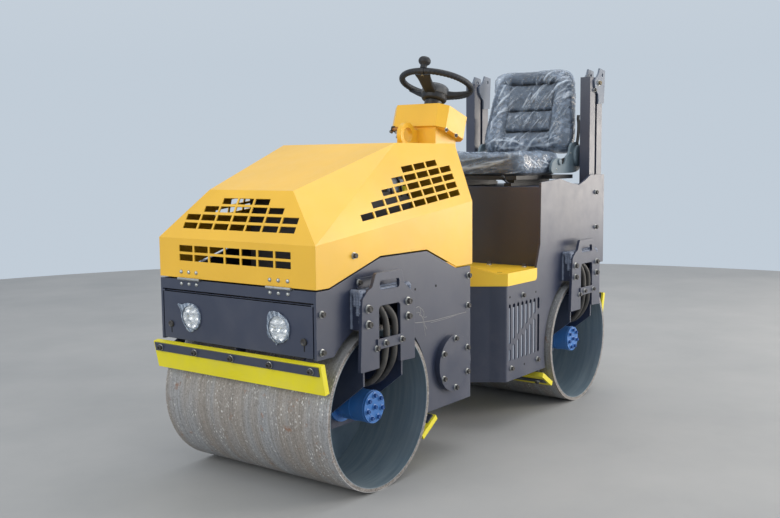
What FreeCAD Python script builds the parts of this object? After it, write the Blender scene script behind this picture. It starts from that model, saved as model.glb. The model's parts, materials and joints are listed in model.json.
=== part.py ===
"""Ride-on articulated tandem drum roller, about one tonne, as separate sub-parts.

Millimetres. +X is forward, towards the engine hood, +Y is the machine's left and +Z is up.
The origin lies on the ground, midway between the two drum axles, below the steering pivot.
"""
import FreeCAD, Part
import Sketcher
import math
import os

Vector = FreeCAD.Vector
doc = FreeCAD.newDocument("Roller")
sheet = doc.addObject("Spreadsheet::Sheet", "Sizes")

# alias, size in millimetres or degrees, what it is
SIZES = (
    ("wheelbase", 1505, "between the drum axles"),
    ("drum_radius", 280, "outside of the drum shell"),
    ("drum_half", 380, "half the drum's width"),
    ("drum_wall", 15, "drum shell"),
    ("web_inset", 270, "drum end to the web disc"),
    ("web_wall", 12, "web disc"),
    ("hub_radius", 62, "drum hub"),
    ("axle_radius", 24, "stub axle"),
    ("run_gap", 0.05, "radial play of a running fit"),
    ("free_gap", 5, "air between pieces that move past each other"),
    ("frame_half", 360, "outside of the side plates"),
    ("side_wall", 10, "side plates"),
    ("inner_wall", 8, "cross plates"),
    ("arch_gap", 24, "air between drum and arch"),
    ("nose_reach", 302, "front axle to the front face"),
    ("nose_low", 490, "underside of the front box"),
    ("deck_top", 594, "deck above a drum"),
    ("belly_low", 197, "underside of both frames"),
    ("bulkhead_reach", 330, "axle to the bulkhead behind its drum"),
    ("front_tail", 160.5, "pivot forward to the end of the front frame"),
    ("shoulder_top", 705, "side plate under the hood's low edges"),
    ("crest_top", 784, "side plate under the hood's raised edge"),
    ("crest_front", -26, "front axle to the crest's front end"),
    ("crest_rear", -299, "front axle to the crest's rear end"),
    ("shoulder_front", 241, "front axle to the front shoulder's end"),
    ("shoulder_rear", -493, "front axle to the rear shoulder's end"),
    ("hood_gap", 6, "air under the hood's edge"),
    ("hood_wall", 4, "hood sheet"),
    ("nose_top", 847, "top of the hood's upright front"),
    ("brow_reach", 214, "front axle to the brow edge"),
    ("brow_half", 194, "half the brow edge"),
    ("brow_top", 1011, "brow edge"),
    ("crown_reach", -241, "front axle to the crown's front edge"),
    ("crown_half", 267, "half the crown's front edge"),
    ("crown_top", 1168, "hood's flat top"),
    ("hood_over", 13, "hood's back past the end of the front frame"),
    ("fold_top", 950, "side fold at the hood's back"),
    ("hinge_radius", 5, "hood hinge barrels"),
    ("hinge_pin", 2.5, "hood hinge pins"),
    ("hinge_ahead", 5.3, "hood hinge axis ahead of the front face"),
    ("engine_long", 430, "engine block"),
    ("engine_half", 205, "engine block"),
    ("engine_tall", 400, "engine block"),
    ("engine_front", 10, "front axle to the engine's front"),
    ("panel_gap", 5, "air round the lamp panel"),
    ("panel_top", 663, "top of the lamp panel"),
    ("panel_depth", 18, "lamp panel's folded rim"),
    ("panel_wall", 3, "lamp panel's sheet"),
    ("strip_low", 669, "underside of the hinge strip"),
    ("lamp_radius", 46, "headlamp"),
    ("lamp_across", 204, "headlamp from the centre line"),
    ("lamp_up", 578, "headlamp above the ground"),
    ("lamp_depth", 60, "headlamp body"),
    ("cover_radius", 106, "round side cover"),
    ("cover_wall", 21, "round side cover on its ring"),
    ("cover_ahead", 137, "front frame's end to the round cover"),
    ("cover_up", 355, "round cover above the ground"),
    ("bracket_stand", 52, "side plates out to the brackets' outer face"),
    ("bracket_wall", 12, "drum bracket's outer plate"),
    ("bracket_half", 150, "half the bracket's width"),
    ("bracket_low", 430, "bottom of the bracket's legs"),
    ("bracket_top", 744, "top of the bracket's head"),
    ("motor_radius", 55, "drum motor"),
    ("motor_out", 349, "motor's outer face"),
    ("mount_in", 190, "inner face of the motor plate"),
    ("hose_radius", 11, "motor hoses"),
    ("blade_half", 389, "half the front outer scraper's length"),
    ("tail_blade_half", 365, "half the rear outer scraper's length"),
    ("low_blade_half", 374, "half the inner scrapers' length"),
    ("blade_wall", 20, "scraper blades"),
    ("blade_tall", 97, "outer scraper blades"),
    ("low_blade_tall", 104, "low scraper blades"),
    ("clamp_wall", 5, "strips that clamp the blades"),
    ("steer_pin", 25, "steering pivot pin's radius"),
    ("yoke_radius", 62, "steering yoke lugs"),
    ("yoke_low", 300, "underside of the lower yoke lug"),
    ("yoke_high", 500, "top of the upper yoke lug"),
    ("yoke_wall", 22, "yoke lugs"),
    ("yoke_gap", 1, "washer gap between yoke lugs"),
    ("tail_reach", 300, "rear axle back to the end of the rear frame"),
    ("box_front", 122.5, "pivot back to the louvred box's front"),
    ("nose_half", 200, "half the rear frame's nose"),
    ("nose_run", 111, "how far the nose tapers forward"),
    ("step_top", 646, "foot step"),
    ("step_skirt", 52, "step's folded edge"),
    ("step_wall", 4, "step sheet"),
    ("step_toe", 46, "rise of the toe guard"),
    ("seat_deck", 988, "top of the seat box"),
    ("seat_box_reach", 340, "rear axle forward to the seat box's front"),
    ("tail_low", 613, "underside of the rear frame's tail"),
    ("post_across", 290, "inner side of a roll bar post"),
    ("post_width", 50, "roll bar post"),
    ("post_chord", 56, "one channel of a roll bar post"),
    ("post_slot", 20, "slot between a post's channels"),
    ("post_over", 9, "post's rear face past the end of the rear frame"),
    ("post_top", 1487, "front channel's top"),
    ("post_rear_top", 1430, "rear channel's top"),
    ("ear_wall", 8, "roll bar ears"),
    ("column_front", 2, "column's front face from the pivot"),
    ("column_rear", -148, "column's rear face from the pivot"),
    ("column_half", 97, "half the column's width"),
    ("head_tilt", 18, "console head and steering wheel"),
    ("head_half", 136, "half the console head's width"),
    ("head_tall", 96, "console head"),
    ("head_ahead", 17.5, "pivot to the head's lower front edge"),
    ("head_up", 1245, "head's lower front edge"),
    ("hub_back", 104.5, "head's front edge to the steering shaft"),
    ("ring_radius", 50, "lifting ring"),
    ("ring_hole", 30, "lifting ring"),
    ("ring_wall", 20, "lifting ring"),
    ("ring_ahead", 20.5, "column to the lifting ring's edge"),
    ("ring_up", 1208.5, "lifting ring"),
    ("wheel_radius", 147, "steering wheel to the middle of its rim"),
    ("rim_radius", 13, "steering wheel rim's section"),
    ("seat_half", 240, "half the cushion's width"),
    ("cushion_long", 440, "seat cushion"),
    ("cushion_tall", 95, "seat cushion"),
    ("cushion_rise", 48, "underside of the cushion above the deck"),
    ("cushion_inset", 49.5, "seat box's front back to the cushion's front"),
    ("back_tall", 425, "seat back"),
    ("back_wall", 90, "seat back"),
    ("back_tilt", 13, "seat back's lean"),
    ("crank", 124, "cylinder's rod pin beside the pivot"),
    ("crank_ahead", 40, "cylinder's rod pin ahead of the pivot"),
    ("cylinder_side", 130, "cylinder's rear pin beside the centre line"),
    ("cylinder_ahead", 62.5, "rear bulkhead to the cylinder's rear pin"),
    ("barrel_radius", 27, "cylinder barrel"),
    ("rod_radius", 14, "cylinder rod"),
    ("cylinder_up", 400, "cylinder above the ground"),
)


def formula(size):
    """The sheet's words for a size, or a bare number in brackets."""
    return size.text if isinstance(size, Dim) else f"({float(size)!r})"


class Dim:
    """A size that carries its value and the formula it comes from."""

    def __init__(self, value, text):
        self.value = float(value)
        self.text = text

    def __float__(self):
        return self.value

    def __neg__(self):
        return Dim(-self.value, f"(0 - {self.text})")

    def __add__(self, other):
        return Dim(self.value + float(other), f"({self.text} + {formula(other)})")

    __radd__ = __add__

    def __sub__(self, other):
        return Dim(self.value - float(other), f"({self.text} - {formula(other)})")

    def __rsub__(self, other):
        return Dim(float(other) - self.value, f"({formula(other)} - {self.text})")

    def __mul__(self, other):
        return Dim(self.value * float(other), f"({self.text} * {formula(other)})")

    __rmul__ = __mul__

    def __truediv__(self, other):
        return Dim(self.value / float(other), f"({self.text} / {formula(other)})")


def read_sizes():
    """Fills the sheet and gives back every size under its alias."""
    found = {}
    for row, (alias, size, note) in enumerate(SIZES, 1):
        sheet.set(f"A{row}", note)
        sheet.set(f"B{row}", str(size))
        sheet.setAlias(f"B{row}", alias)
    doc.recompute()
    for alias, size, note in SIZES:
        found[alias] = Dim(sheet.get(alias), f"Sizes.{alias}")
    return found


class Sizes:
    """The sheet's sizes as plain names."""

    def __init__(self, found):
        self.__dict__.update(found)


s = Sizes(read_sizes())
front = s.wheelbase / 2      # the front axle's place along X
rear = -s.wheelbase / 2      # the rear axle's place along X
plate_in = s.frame_half - s.side_wall
NODES = []


def sin(angle):
    return Dim(math.sin(math.radians(float(angle))), f"sin({formula(angle)} * 1 deg)")


def cos(angle):
    return Dim(math.cos(math.radians(float(angle))), f"cos({formula(angle)} * 1 deg)")


def bind(thing, path, size):
    thing.setExpression(path, formula(size))


def place(thing, x=0, y=0, z=0, axis=None, angle=0):
    """Moves and turns a piece, with each coordinate tied to the sheet."""
    if axis:
        thing.Placement = FreeCAD.Placement(Vector(0, 0, 0), FreeCAD.Rotation(Vector(*axis), float(angle)))
        if isinstance(angle, Dim):
            bind(thing, "Placement.Rotation.Angle", angle)
    for name, size in (("x", x), ("y", y), ("z", z)):
        bind(thing, f"Placement.Base.{name}", size)
    return thing


def block(x, y, z):
    """Box between two limits on each axis."""
    box = doc.addObject("Part::Box", "Block")
    for side, name, (low, high) in (("Length", "x", x), ("Width", "y", y), ("Height", "z", z)):
        bind(box, side, high - low)
        bind(box, f"Placement.Base.{name}", low)
    return box


TURNS = {"x": ((0, 1, 0), 90), "y": ((1, 0, 0), -90), "z": None}


def bar(along, centre, radius, span):
    """Round bar along an axis through centre = (x, y, z), from span's low end to its high end."""
    rod = doc.addObject("Part::Cylinder", "Bar")
    bind(rod, "Radius", radius)
    bind(rod, "Height", span[1] - span[0])
    if TURNS[along]:
        axis, angle = TURNS[along]
        rod.Placement = FreeCAD.Placement(Vector(0, 0, 0), FreeCAD.Rotation(Vector(*axis), angle))
    spot = dict(zip("xyz", centre))
    spot[along] = span[0]
    for name, size in spot.items():
        bind(rod, f"Placement.Base.{name}", size)
    return rod


def fuse(*pieces):
    joined = doc.addObject("Part::MultiFuse", "Joined")
    joined.Shapes = list(pieces)
    joined.Refine = True
    return joined


def cut(base, *tools):
    left = doc.addObject("Part::Cut", "Trimmed")
    left.Base = base
    left.Tool = tools[0] if len(tools) == 1 else fuse(*tools)
    left.Refine = True
    return left


def group(*pieces):
    """Separate solids that share one node."""
    many = doc.addObject("Part::Compound", "Group")
    many.Links = list(pieces)
    return many


def twin(piece, normal=(0, 1, 0)):
    """The piece's mirror image across the centre line."""
    image = doc.addObject("Part::Mirroring", "Twin")
    image.Source = piece
    image.Normal = Vector(*normal)
    return image


def pair(piece):
    return group(piece, twin(piece))


def shape(name, solid):
    """A solid worked out in code from the sheet's sizes."""
    piece = doc.addObject("Part::Feature", name)
    piece.Shape = solid
    return piece


def node(label, piece):
    piece.Label = label
    NODES.append(piece)
    return piece


# sketch plane: its role in a body's origin, and the sign of its normal along the third axis
PLANES = {"xz": ("XZ_Plane", -1), "yz": ("YZ_Plane", 1), "xy": ("XY_Plane", 1)}


def plate(plane, points, low, high):
    """A pad of a straight-sided outline, from low to high along the plane's third axis."""
    role, sign = PLANES[plane]
    body = doc.addObject("PartDesign::Body", "Plate")
    sketch = body.newObject("Sketcher::SketchObject", "Outline")
    base = [f for f in body.Origin.OriginFeatures if f.Role == role][0]
    sketch.AttachmentSupport = [(base, "")]
    sketch.MapMode = "FlatFace"
    bind(sketch, "AttachmentOffset.Base.z", low if sign > 0 else -high)
    count = len(points)
    spots = [Vector(float(a), float(b), 0) for a, b in points]
    for i in range(count):
        sketch.addGeometry(Part.LineSegment(spots[i], spots[(i + 1) % count]), False)
    for i in range(count):
        sketch.addConstraint(Sketcher.Constraint("Coincident", i, 2, (i + 1) % count, 1))
    for i, (a, b) in enumerate(points):
        for kind, size in (("DistanceX", a), ("DistanceY", b)):
            index = sketch.addConstraint(Sketcher.Constraint(kind, -1, 1, i, 1, float(size)))
            if isinstance(size, Dim):
                sketch.setExpression(f"Constraints[{index}]", size.text)
    pad = body.newObject("PartDesign::Pad", "Pad")
    pad.Profile = sketch
    bind(pad, "Length", high - low)
    body.Tip = pad
    return body


def rounded(points, radii):
    """Closed wire of straight sides with round corners, on three-dimensional points."""
    edges = []
    count = len(points)
    starts, ends = [], []
    arcs = []
    for i in range(count):
        here, before, after = points[i], points[i - 1], points[(i + 1) % count]
        radius = radii[i] if isinstance(radii, (list, tuple)) else radii
        one = (before - here).normalize()
        two = (after - here).normalize()
        half = math.acos(max(-1, min(1, one.dot(two)))) / 2
        if radius <= 0 or half > math.radians(89.5):
            starts.append(here)
            ends.append(here)
            arcs.append(None)
            continue
        reach = radius / math.tan(half)
        first, last = here + one * reach, here + two * reach
        middle = (one + two).normalize()
        tip = here + middle * (radius / math.sin(half) - radius)
        starts.append(first)
        ends.append(last)
        arcs.append(Part.Arc(first, tip, last).toShape())
    for i in range(count):
        if arcs[i]:
            edges.append(arcs[i])
        if ends[i].distanceToPoint(starts[(i + 1) % count]) > 1e-6:
            edges.append(Part.LineSegment(ends[i], starts[(i + 1) % count]).toShape())
    return Part.Wire(edges)


def slab(points, radii, direction, holes=()):
    """A rounded outline with holes, carried along a direction."""
    face = Part.Face(rounded(points, radii))
    for hole_points, hole_radii in holes:
        face = face.cut(Part.Face(rounded(hole_points, hole_radii)))
    return face.extrude(direction)


def upright(points, y, radii, thick, holes=()):
    """A plate parallel to XZ whose outside is at y and whose thickness goes inward."""
    lift = lambda spots: [Vector(float(a), float(y), float(b)) for a, b in spots]
    return slab(lift(points), radii, Vector(0, -float(thick), 0), [(lift(h), r) for h, r in holes])


def pipe(points, radii, radius):
    """A round tube along straight runs joined by tangent arcs."""
    edges = []
    here = points[0]
    for i in range(1, len(points) - 1):
        one = (points[i - 1] - points[i]).normalize()
        two = (points[i + 1] - points[i]).normalize()
        half = math.acos(max(-1, min(1, one.dot(two)))) / 2
        reach = radii[i - 1] / math.tan(half)
        first, last = points[i] + one * reach, points[i] + two * reach
        tip = points[i] + (one + two).normalize() * (radii[i - 1] / math.sin(half) - radii[i - 1])
        if here.distanceToPoint(first) > 1e-6:
            edges.append(Part.LineSegment(here, first).toShape())
        edges.append(Part.Arc(first, tip, last).toShape())
        here = last
    edges.append(Part.LineSegment(here, points[-1]).toShape())
    path = Part.Wire(edges)
    direction = edges[0].tangentAt(edges[0].FirstParameter)
    ring = Part.Wire(Part.makeCircle(radius, points[0], direction))
    return path.makePipeShell([ring], True, True)


# ---------------------------------------------------------------- drums

def drum(name, axle):
    """Open-ended shell with two web discs, hub tube and stub axles."""
    shell = cut(bar("y", (axle, 0, s.drum_radius), s.drum_radius, (-s.drum_half, s.drum_half)),
                bar("y", (axle, 0, s.drum_radius), s.drum_radius - s.drum_wall,
                    (-s.drum_half - 1, s.drum_half + 1)))
    node(f"{name}_drum_shell", shell)
    web_out = s.drum_half - s.web_inset
    web_in = web_out - s.web_wall
    discs = [bar("y", (axle, 0, s.drum_radius), s.drum_radius - s.drum_wall, span)
             for span in ((web_in, web_out), (-web_out, -web_in))]
    hub = bar("y", (axle, 0, s.drum_radius), s.hub_radius, (-web_out - 18, web_out + 18))
    axles = bar("y", (axle, 0, s.drum_radius), s.axle_radius, (-s.mount_in - 40, s.mount_in + 40))
    node(f"{name}_drum_webs", fuse(*discs, hub, axles))


# ---------------------------------------------------------------- drum brackets

def bracket_form(axle):
    """Outer plate with its grip slot and hose opening, side walls, gussets and motor plate."""
    x, low, top = float(axle), float(s.bracket_low), float(s.bracket_top)
    half, out, wall = float(s.bracket_half), float(s.frame_half) + float(s.bracket_stand), float(s.bracket_wall)
    inner = float(s.inner_wall)
    side = float(s.frame_half)
    shoulder, neck = top - 77, top - 46
    gap_front, gap_rear, gap_top = x + 52, x - 66, top - 109
    outline = [(x + half, low), (x + half - 12, shoulder), (x + 106, shoulder + 26), (x + 87, neck),
               (x + 66, top), (x - 78, top), (x - 88, neck), (x - 146, shoulder - 12), (x - half, low),
               (gap_rear, low + 4), (gap_rear, gap_top), (gap_front, gap_top), (gap_front, low)]
    radii = [6, 10, 10, 22, 14, 14, 22, 14, 6, 4, 14, 14, 4]
    grip = ([(x + 46, top - 58), (x + 46, top - 27), (x - 62, top - 27), (x - 62, top - 58)], 9)
    outer = upright(outline, out, radii, wall, [grip])
    arm = half - 18
    wall_low, wall_top = float(s.deck_top) - 30, top - 58
    back = out - wall
    for across in (-1, 1):
        edge = x + across * arm
        inside = edge - across * inner
        outer = outer.fuse(Part.makeBox(inner, back - side, wall_top - wall_low,
                                        Vector(min(edge, inside), side, wall_low)))
    outer = outer.fuse(Part.makeBox(2 * arm, back - side, inner, Vector(x - arm, side, wall_top - inner)))
    gusset = x + half - 41
    mount, end = float(s.mount_in), float(s.drum_half) + float(s.free_gap)
    web = [(back, 620), (back, low), (end + 3, low), (end + 3, low - 54), (276, 288), (215, 240),
           (mount, 240), (mount, 500), (end, 500), (end, 620)]
    for place_x in (gusset - inner, 2 * x - gusset):
        spots = [Vector(place_x, y, z) for y, z in web]
        outer = outer.fuse(slab(spots, 0, Vector(inner, 0, 0)))
    width = gusset - x
    motor_plate = Part.makeBox(2 * width, inner + 2, 310, Vector(x - width, mount, 190))
    outer = outer.fuse(motor_plate)
    shaft = Part.makeCylinder(float(s.axle_radius) + 12, 40, Vector(x, mount - 10, float(s.drum_radius)),
                              Vector(0, 1, 0))
    outer = outer.cut(shaft)
    strap = Part.makeBox(140, 6, 34, Vector(x - 74, out, 494))
    return outer.fuse(strap).removeSplitter()


def motor_form(axle):
    """Flanged hydraulic motor: stepped body with a bore that the stub axle runs in."""
    x, z = float(axle), float(s.drum_radius)
    inner = float(s.mount_in) + float(s.inner_wall) + 2
    out, radius = float(s.motor_out), float(s.motor_radius)
    along = Vector(0, 1, 0)
    body = Part.makeCylinder(radius + 15, 14, Vector(x, inner, z), along)
    body = body.fuse(Part.makeCylinder(radius - 5, 40, Vector(x, inner, z), along))
    body = body.fuse(Part.makeCylinder(radius, out - inner - 34, Vector(x, inner + 34, z), along))
    port = Part.makeBox(84, 46, 66, Vector(x - 42, inner + 4, z + 20))
    body = body.fuse(port)
    bore = Part.makeCylinder(float(s.axle_radius) + float(s.run_gap), 42, Vector(x, inner, z), along)
    return body.cut(bore).removeSplitter()


HOSES = (
    # x from the axle, y, z of each corner; bend radius at the inner corners
    (((26, 380, 678), (26, 380, 625), (-4, 400.5, 585), (-4, 400.5, 425), (20, 320, 352), (20, 250, 352)),
     (40, 40, 70, 50)),
    (((-12, 380, 678), (-12, 380, 632), (-46, 400.5, 592), (-46, 400.5, 418), (-20, 320, 352), (-20, 250, 352)),
     (40, 40, 70, 50)),
)


def hose_form(axle):
    tubes = []
    for corners, bends in HOSES:
        points = [Vector(float(axle) + x, y, z) for x, y, z in corners]
        tubes.append(pipe(points, bends, float(s.hose_radius)))
    return Part.makeCompound(tubes)


def drum_carriers(name, axle):
    """Bracket, motor and hoses on the left, mirrored to the right."""
    node(f"{name}_brackets", pair(shape("Bracket", bracket_form(axle))))
    node(f"{name}_motors", pair(shape("Motor", motor_form(axle))))
    node(f"{name}_hoses", pair(shape("Hoses", hose_form(axle))))


# ---------------------------------------------------------------- scrapers

# foot of the blade from the axle, lean from upright; "along" runs up the blade, "off" out through it
FRONT_BLADE = {"foot": 279, "up": 388, "tilt": 12}
TAIL_BLADE = {"foot": 279, "up": 367, "tilt": 12}
LOW_BLADE = {"foot": 245, "up": 128, "tilt": 58}


def blade_spot(way, along, off):
    """A place on a blade's section: distance from the axle and height above the ground."""
    lean = way["tilt"]
    return (way["foot"] + sin(lean) * along + cos(lean) * off, way["up"] + cos(lean) * along - sin(lean) * off)


def blade(axle, ahead, way, half, wall, tall, along=0, off=0):
    """A strip on a leaning blade's section, right across the machine."""
    strip = doc.addObject("Part::Box", "Blade")
    bind(strip, "Length", wall)
    bind(strip, "Width", half * 2)
    bind(strip, "Height", tall)
    foot, up = blade_spot(way, along, off)
    place(strip, foot, -half, up, (0, 1, 0), way["tilt"])
    if not ahead:
        strip = twin(strip, (1, 0, 0))
    return place(group(strip), axle, 0, 0)


def blade_arms(axle, ahead, outline):
    """Three upright plates that carry a blade from the frame above it."""
    way = 1 if ahead else -1
    points = [(axle + x * way, z) for x, z in outline]
    return [plate("xz", points, y - s.inner_wall / 2, y + s.inner_wall / 2) for y in (-300, 0, 300)]


def scrapers(name, axle, outward):
    """Outer blade on the far side of the drum and a low blade on the steering side, with their clamps."""
    ahead = outward > 0
    way = FRONT_BLADE if ahead else TAIL_BLADE
    half = s.blade_half if ahead else s.tail_blade_half
    outer = blade(axle, ahead, way, half, s.blade_wall, s.blade_tall)
    low = blade(axle, not ahead, LOW_BLADE, s.low_blade_half, s.blade_wall, s.low_blade_tall)
    node(f"{name}_scrapers", group(outer, low))
    clamp = blade(axle, ahead, way, half - 9, s.clamp_wall, 30, s.blade_tall - 33, s.blade_wall)
    carrier = blade(axle, ahead, way, half - 9, s.clamp_wall, 30, s.blade_tall - 33, -s.clamp_wall)
    roof = s.nose_low if ahead else s.tail_low
    foot, top = blade_spot(way, 45, 0), blade_spot(way, s.blade_tall, 0)
    outer_arms = blade_arms(axle, ahead, ((252, roof), (286, roof), top, foot, (foot[0] - 16, foot[1])))
    low_half = s.low_blade_half - 9
    low_clamp = blade(axle, not ahead, LOW_BLADE, low_half, s.clamp_wall, 40, 58, -s.clamp_wall)
    low_strip = blade(axle, not ahead, LOW_BLADE, low_half, s.clamp_wall, 34, 36, s.blade_wall)
    low_arms = blade_arms(axle, not ahead, ((304, s.belly_low), (352, s.belly_low),
                                            blade_spot(LOW_BLADE, s.low_blade_tall, 0), blade_spot(LOW_BLADE, 70, 0)))
    node(f"{name}_scraper_clamps", group(clamp, fuse(carrier, *outer_arms), fuse(low_clamp, *low_arms), low_strip))


# ---------------------------------------------------------------- front frame

def front_frame():
    """Side plates cut by the drum's arch, the folded cross plates and the steering yoke."""
    lamp_axis = (front + s.nose_reach - 3, 0, s.panel_top - 2)
    outline = ((front + s.nose_reach, s.shoulder_top), (front + s.shoulder_front, s.shoulder_top),
               (front + s.crest_front, s.crest_top), (front + s.crest_rear, s.crest_top),
               (front + s.shoulder_rear, s.shoulder_top), (s.front_tail, s.shoulder_top),
               (s.front_tail, s.belly_low), (front - 200, s.belly_low),
               (front - 200, s.nose_low), (front + s.nose_reach, s.nose_low))
    side = cut(plate("xz", outline, plate_in, s.frame_half), arch(front))
    pivot = bar("y", lamp_axis, 4, (plate_in - 10, plate_in))
    node("front_side_plates", pair(fuse(side, pivot)))
    across = (-plate_in, plate_in)
    riser = front + 215
    deck = block((front - s.bulkhead_reach, riser), across, (s.deck_top - s.inner_wall, s.deck_top))
    wall = block((riser, riser + s.inner_wall), across, (s.nose_low, s.deck_top))
    floor = block((riser, front + s.nose_reach - s.panel_depth - s.panel_gap), across,
                  (s.nose_low, s.nose_low + s.inner_wall))
    bulkhead = block((front - s.bulkhead_reach, front - s.bulkhead_reach + s.inner_wall), across,
                     (s.belly_low, s.deck_top))
    belly = block((s.front_tail, front - s.bulkhead_reach), across,
                  (s.belly_low, s.belly_low + s.inner_wall))
    tail = block((s.front_tail, s.front_tail + s.inner_wall), across,
                 (s.belly_low, s.deck_top + 26))
    strip = block((front + s.nose_reach - 5, front + s.nose_reach), across, (s.strip_low, s.shoulder_top))
    node("front_cross_plates", fuse(deck, wall, floor, bulkhead, belly, tail, strip))
    covers = bar("y", (s.front_tail + s.cover_ahead, 0, s.cover_up), s.cover_radius,
                 (s.frame_half, s.frame_half + s.cover_wall))
    node("side_covers", pair(covers))
    yoke_back = s.front_tail
    lugs = []
    for low in (s.yoke_low, s.yoke_high - s.yoke_wall):
        span = (low, low + s.yoke_wall)
        lugs.append(fuse(block((0, yoke_back), (-s.yoke_radius, s.yoke_radius), span),
                         bar("z", (0, 0, 0), s.yoke_radius, span)))
    for low in (s.cylinder_up - 36, s.cylinder_up + 22):
        span = (low, low + 14)
        lugs.append(fuse(block((s.crank_ahead, yoke_back), (-s.crank - 28, 28 - s.crank), span),
                         bar("z", (s.crank_ahead, -s.crank, 0), 28, span)))
    hole = bar("z", (0, 0, 0), s.steer_pin + s.run_gap, (s.yoke_low - 10, s.yoke_high + 10))
    node("front_yoke", cut(fuse(*lugs), hole))


def arch(axle):
    """The round space over a drum, which the side plates leave free."""
    return bar("y", (axle, 0, s.drum_radius), s.drum_radius + s.arch_gap, (0, s.frame_half + 50))


# ---------------------------------------------------------------- hood

def hood_points(skin):
    """Corners of the hood's folded form, moved inward by skin: x, half width, z."""
    x, gap = float(front), float(s.hood_gap)
    tail = float(s.front_tail) - float(s.hood_over)
    half = float(s.frame_half) + 1 - skin
    drop = 80 if skin else 0
    low, crest = float(s.shoulder_top) + gap - drop, float(s.crest_top) + gap - drop
    points = {
        "nose_low": (x + float(s.nose_reach) - skin, half, low),
        "nose_top": (x + float(s.nose_reach) - skin, half, float(s.nose_top) - 0.25 * skin),
        "brow": (x + float(s.brow_reach) - 0.7 * skin, float(s.brow_half) - 0.75 * skin,
                 float(s.brow_top) - 0.82 * skin),
        "crown": (x + float(s.crown_reach) - 0.17 * skin, float(s.crown_half) - 0.7 * skin,
                  float(s.crown_top) - skin),
        "fold": (tail + skin, half, float(s.fold_top) - 0.3 * skin),
        "tail": (tail + skin, half, low),
        "rear_shoulder": (x + float(s.shoulder_rear), half, low),
        "rear_crest": (x + float(s.crest_rear), half, crest),
        "front_crest": (x + float(s.crest_front), half, crest),
        "front_shoulder": (x + float(s.shoulder_front), half, low),
    }
    points["crown_tail"] = on_side_panel(points, tail + skin, float(s.crown_top) - skin)
    return {name: Vector(*spot) for name, spot in points.items()}


def on_side_panel(points, x, z):
    """Where the flat side panel through nose_top, crown and fold meets a place in x and z."""
    nose, crown, fold = (Vector(*points[name]) for name in ("nose_top", "crown", "fold"))
    normal = (fold - nose).cross(crown - nose)
    y = nose.y - (normal.x * (x - nose.x) + normal.z * (z - nose.z)) / normal.y
    return (x, y, z)


HOOD_SIDE_FACES = (
    ("nose_top", "brow", "crown"),
    ("nose_top", "crown", "crown_tail", "fold"),
    ("nose_low", "nose_top", "fold", "tail", "rear_shoulder", "rear_crest", "front_crest", "front_shoulder"),
)
HOOD_CROSS_EDGES = ("nose_low", "nose_top", "brow", "crown", "crown_tail", "tail", "rear_shoulder",
                    "rear_crest", "front_crest", "front_shoulder")


def flat(points):
    return Part.Face(Part.makePolygon(list(points) + [points[0]]))


def hood_block(skin):
    """The closed folded form: side faces left and right and a band that goes round between them."""
    spots = hood_points(skin)
    mirror = lambda spot: Vector(spot.x, -spot.y, spot.z)
    faces = []
    for names in HOOD_SIDE_FACES:
        faces.append(flat([spots[name] for name in names]))
        faces.append(flat([mirror(spots[name]) for name in names]))
    ring = list(HOOD_CROSS_EDGES)
    for first, second in zip(ring, ring[1:] + ring[:1]):
        a, b = spots[first], spots[second]
        corners = [a, b, mirror(b), mirror(a)]
        if first == "crown_tail":
            corners = [a, spots["fold"], b, mirror(b), mirror(spots["fold"]), mirror(a)]
        faces.append(flat(corners))
    solid = Part.makeSolid(Part.makeShell(faces))
    if solid.Volume < 0:
        solid.reverse()
    return solid


def slot_cutter(corner, along, up, out, spots, width, tall):
    """Slots through a sheet: spots are their lower corners in the plane of along and up."""
    cutters = []
    for a, b in spots:
        foot = corner + along * a + up * b + out * 12
        face = flat([foot, foot + along * width, foot + along * width + up * tall, foot + up * tall])
        cutters.append(face.extrude(out * -30))
    return cutters


def row(count, pitch, width, height):
    """Lower corners of a row of slots centred on zero."""
    start = -((count - 1) * pitch + width) / 2
    return [(start + i * pitch, height) for i in range(int(count))]


SLOT = (67, 22.5)                                       # every slot's length and height
FRONT_ROWS = ((7, 38), (7, 70), (5, 102), (3, 133))     # slots, height up the slope
NOSE_ROWS = (770, 801)                                  # height above the ground
SIDE_ROWS = ((0, 8), (1, 8), (2, 8), (3, 8), (4, 7))    # first and last column of each rising row


def hood():
    """Folded sheet hood with its slotted grilles."""
    skin = float(s.hood_wall)
    shell = hood_block(0).cut(hood_block(skin))
    spots = hood_points(0)
    nose, brow, crown, fold = (spots[name] for name in ("nose_top", "brow", "crown", "fold"))
    across = Vector(0, 1, 0)
    up = Vector(brow.x - nose.x, 0, brow.z - nose.z).normalize()
    out = across.cross(up)
    centre = Vector(nose.x, 0, nose.z)
    cutters = []
    for count, height in FRONT_ROWS:
        cutters += slot_cutter(centre, across, up, out, row(count, 75, SLOT[0], height), *SLOT)
    base = Vector(nose.x, 0, 0)
    for height in NOSE_ROWS:
        cutters += slot_cutter(base, across, Vector(0, 0, 1), Vector(1, 0, 0),
                               row(7, 75, SLOT[0], height), *SLOT)
    along = (fold - nose).normalize()
    normal = (fold - nose).cross(crown - nose).normalize()
    if normal.y < 0:
        normal = -normal
    rise = normal.cross(along)
    if rise.z < 0:
        rise = -rise
    cells = []
    for level, (first, last) in enumerate(SIDE_ROWS):
        cells += [(255 + 75.5 * column, 35 + 32.1 * level) for column in range(first, last)]
    side = slot_cutter(nose, along, rise, normal, cells, *SLOT)
    cutters += side
    cutters += [piece.mirror(Vector(0, 0, 0), Vector(0, 1, 0)) for piece in side]
    node("hood", shape("Hood", shell.cut(Part.makeCompound(cutters)).removeSplitter()))


HINGES = (155, 262)      # inner and outer end of each hood hinge from the centre line


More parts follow.
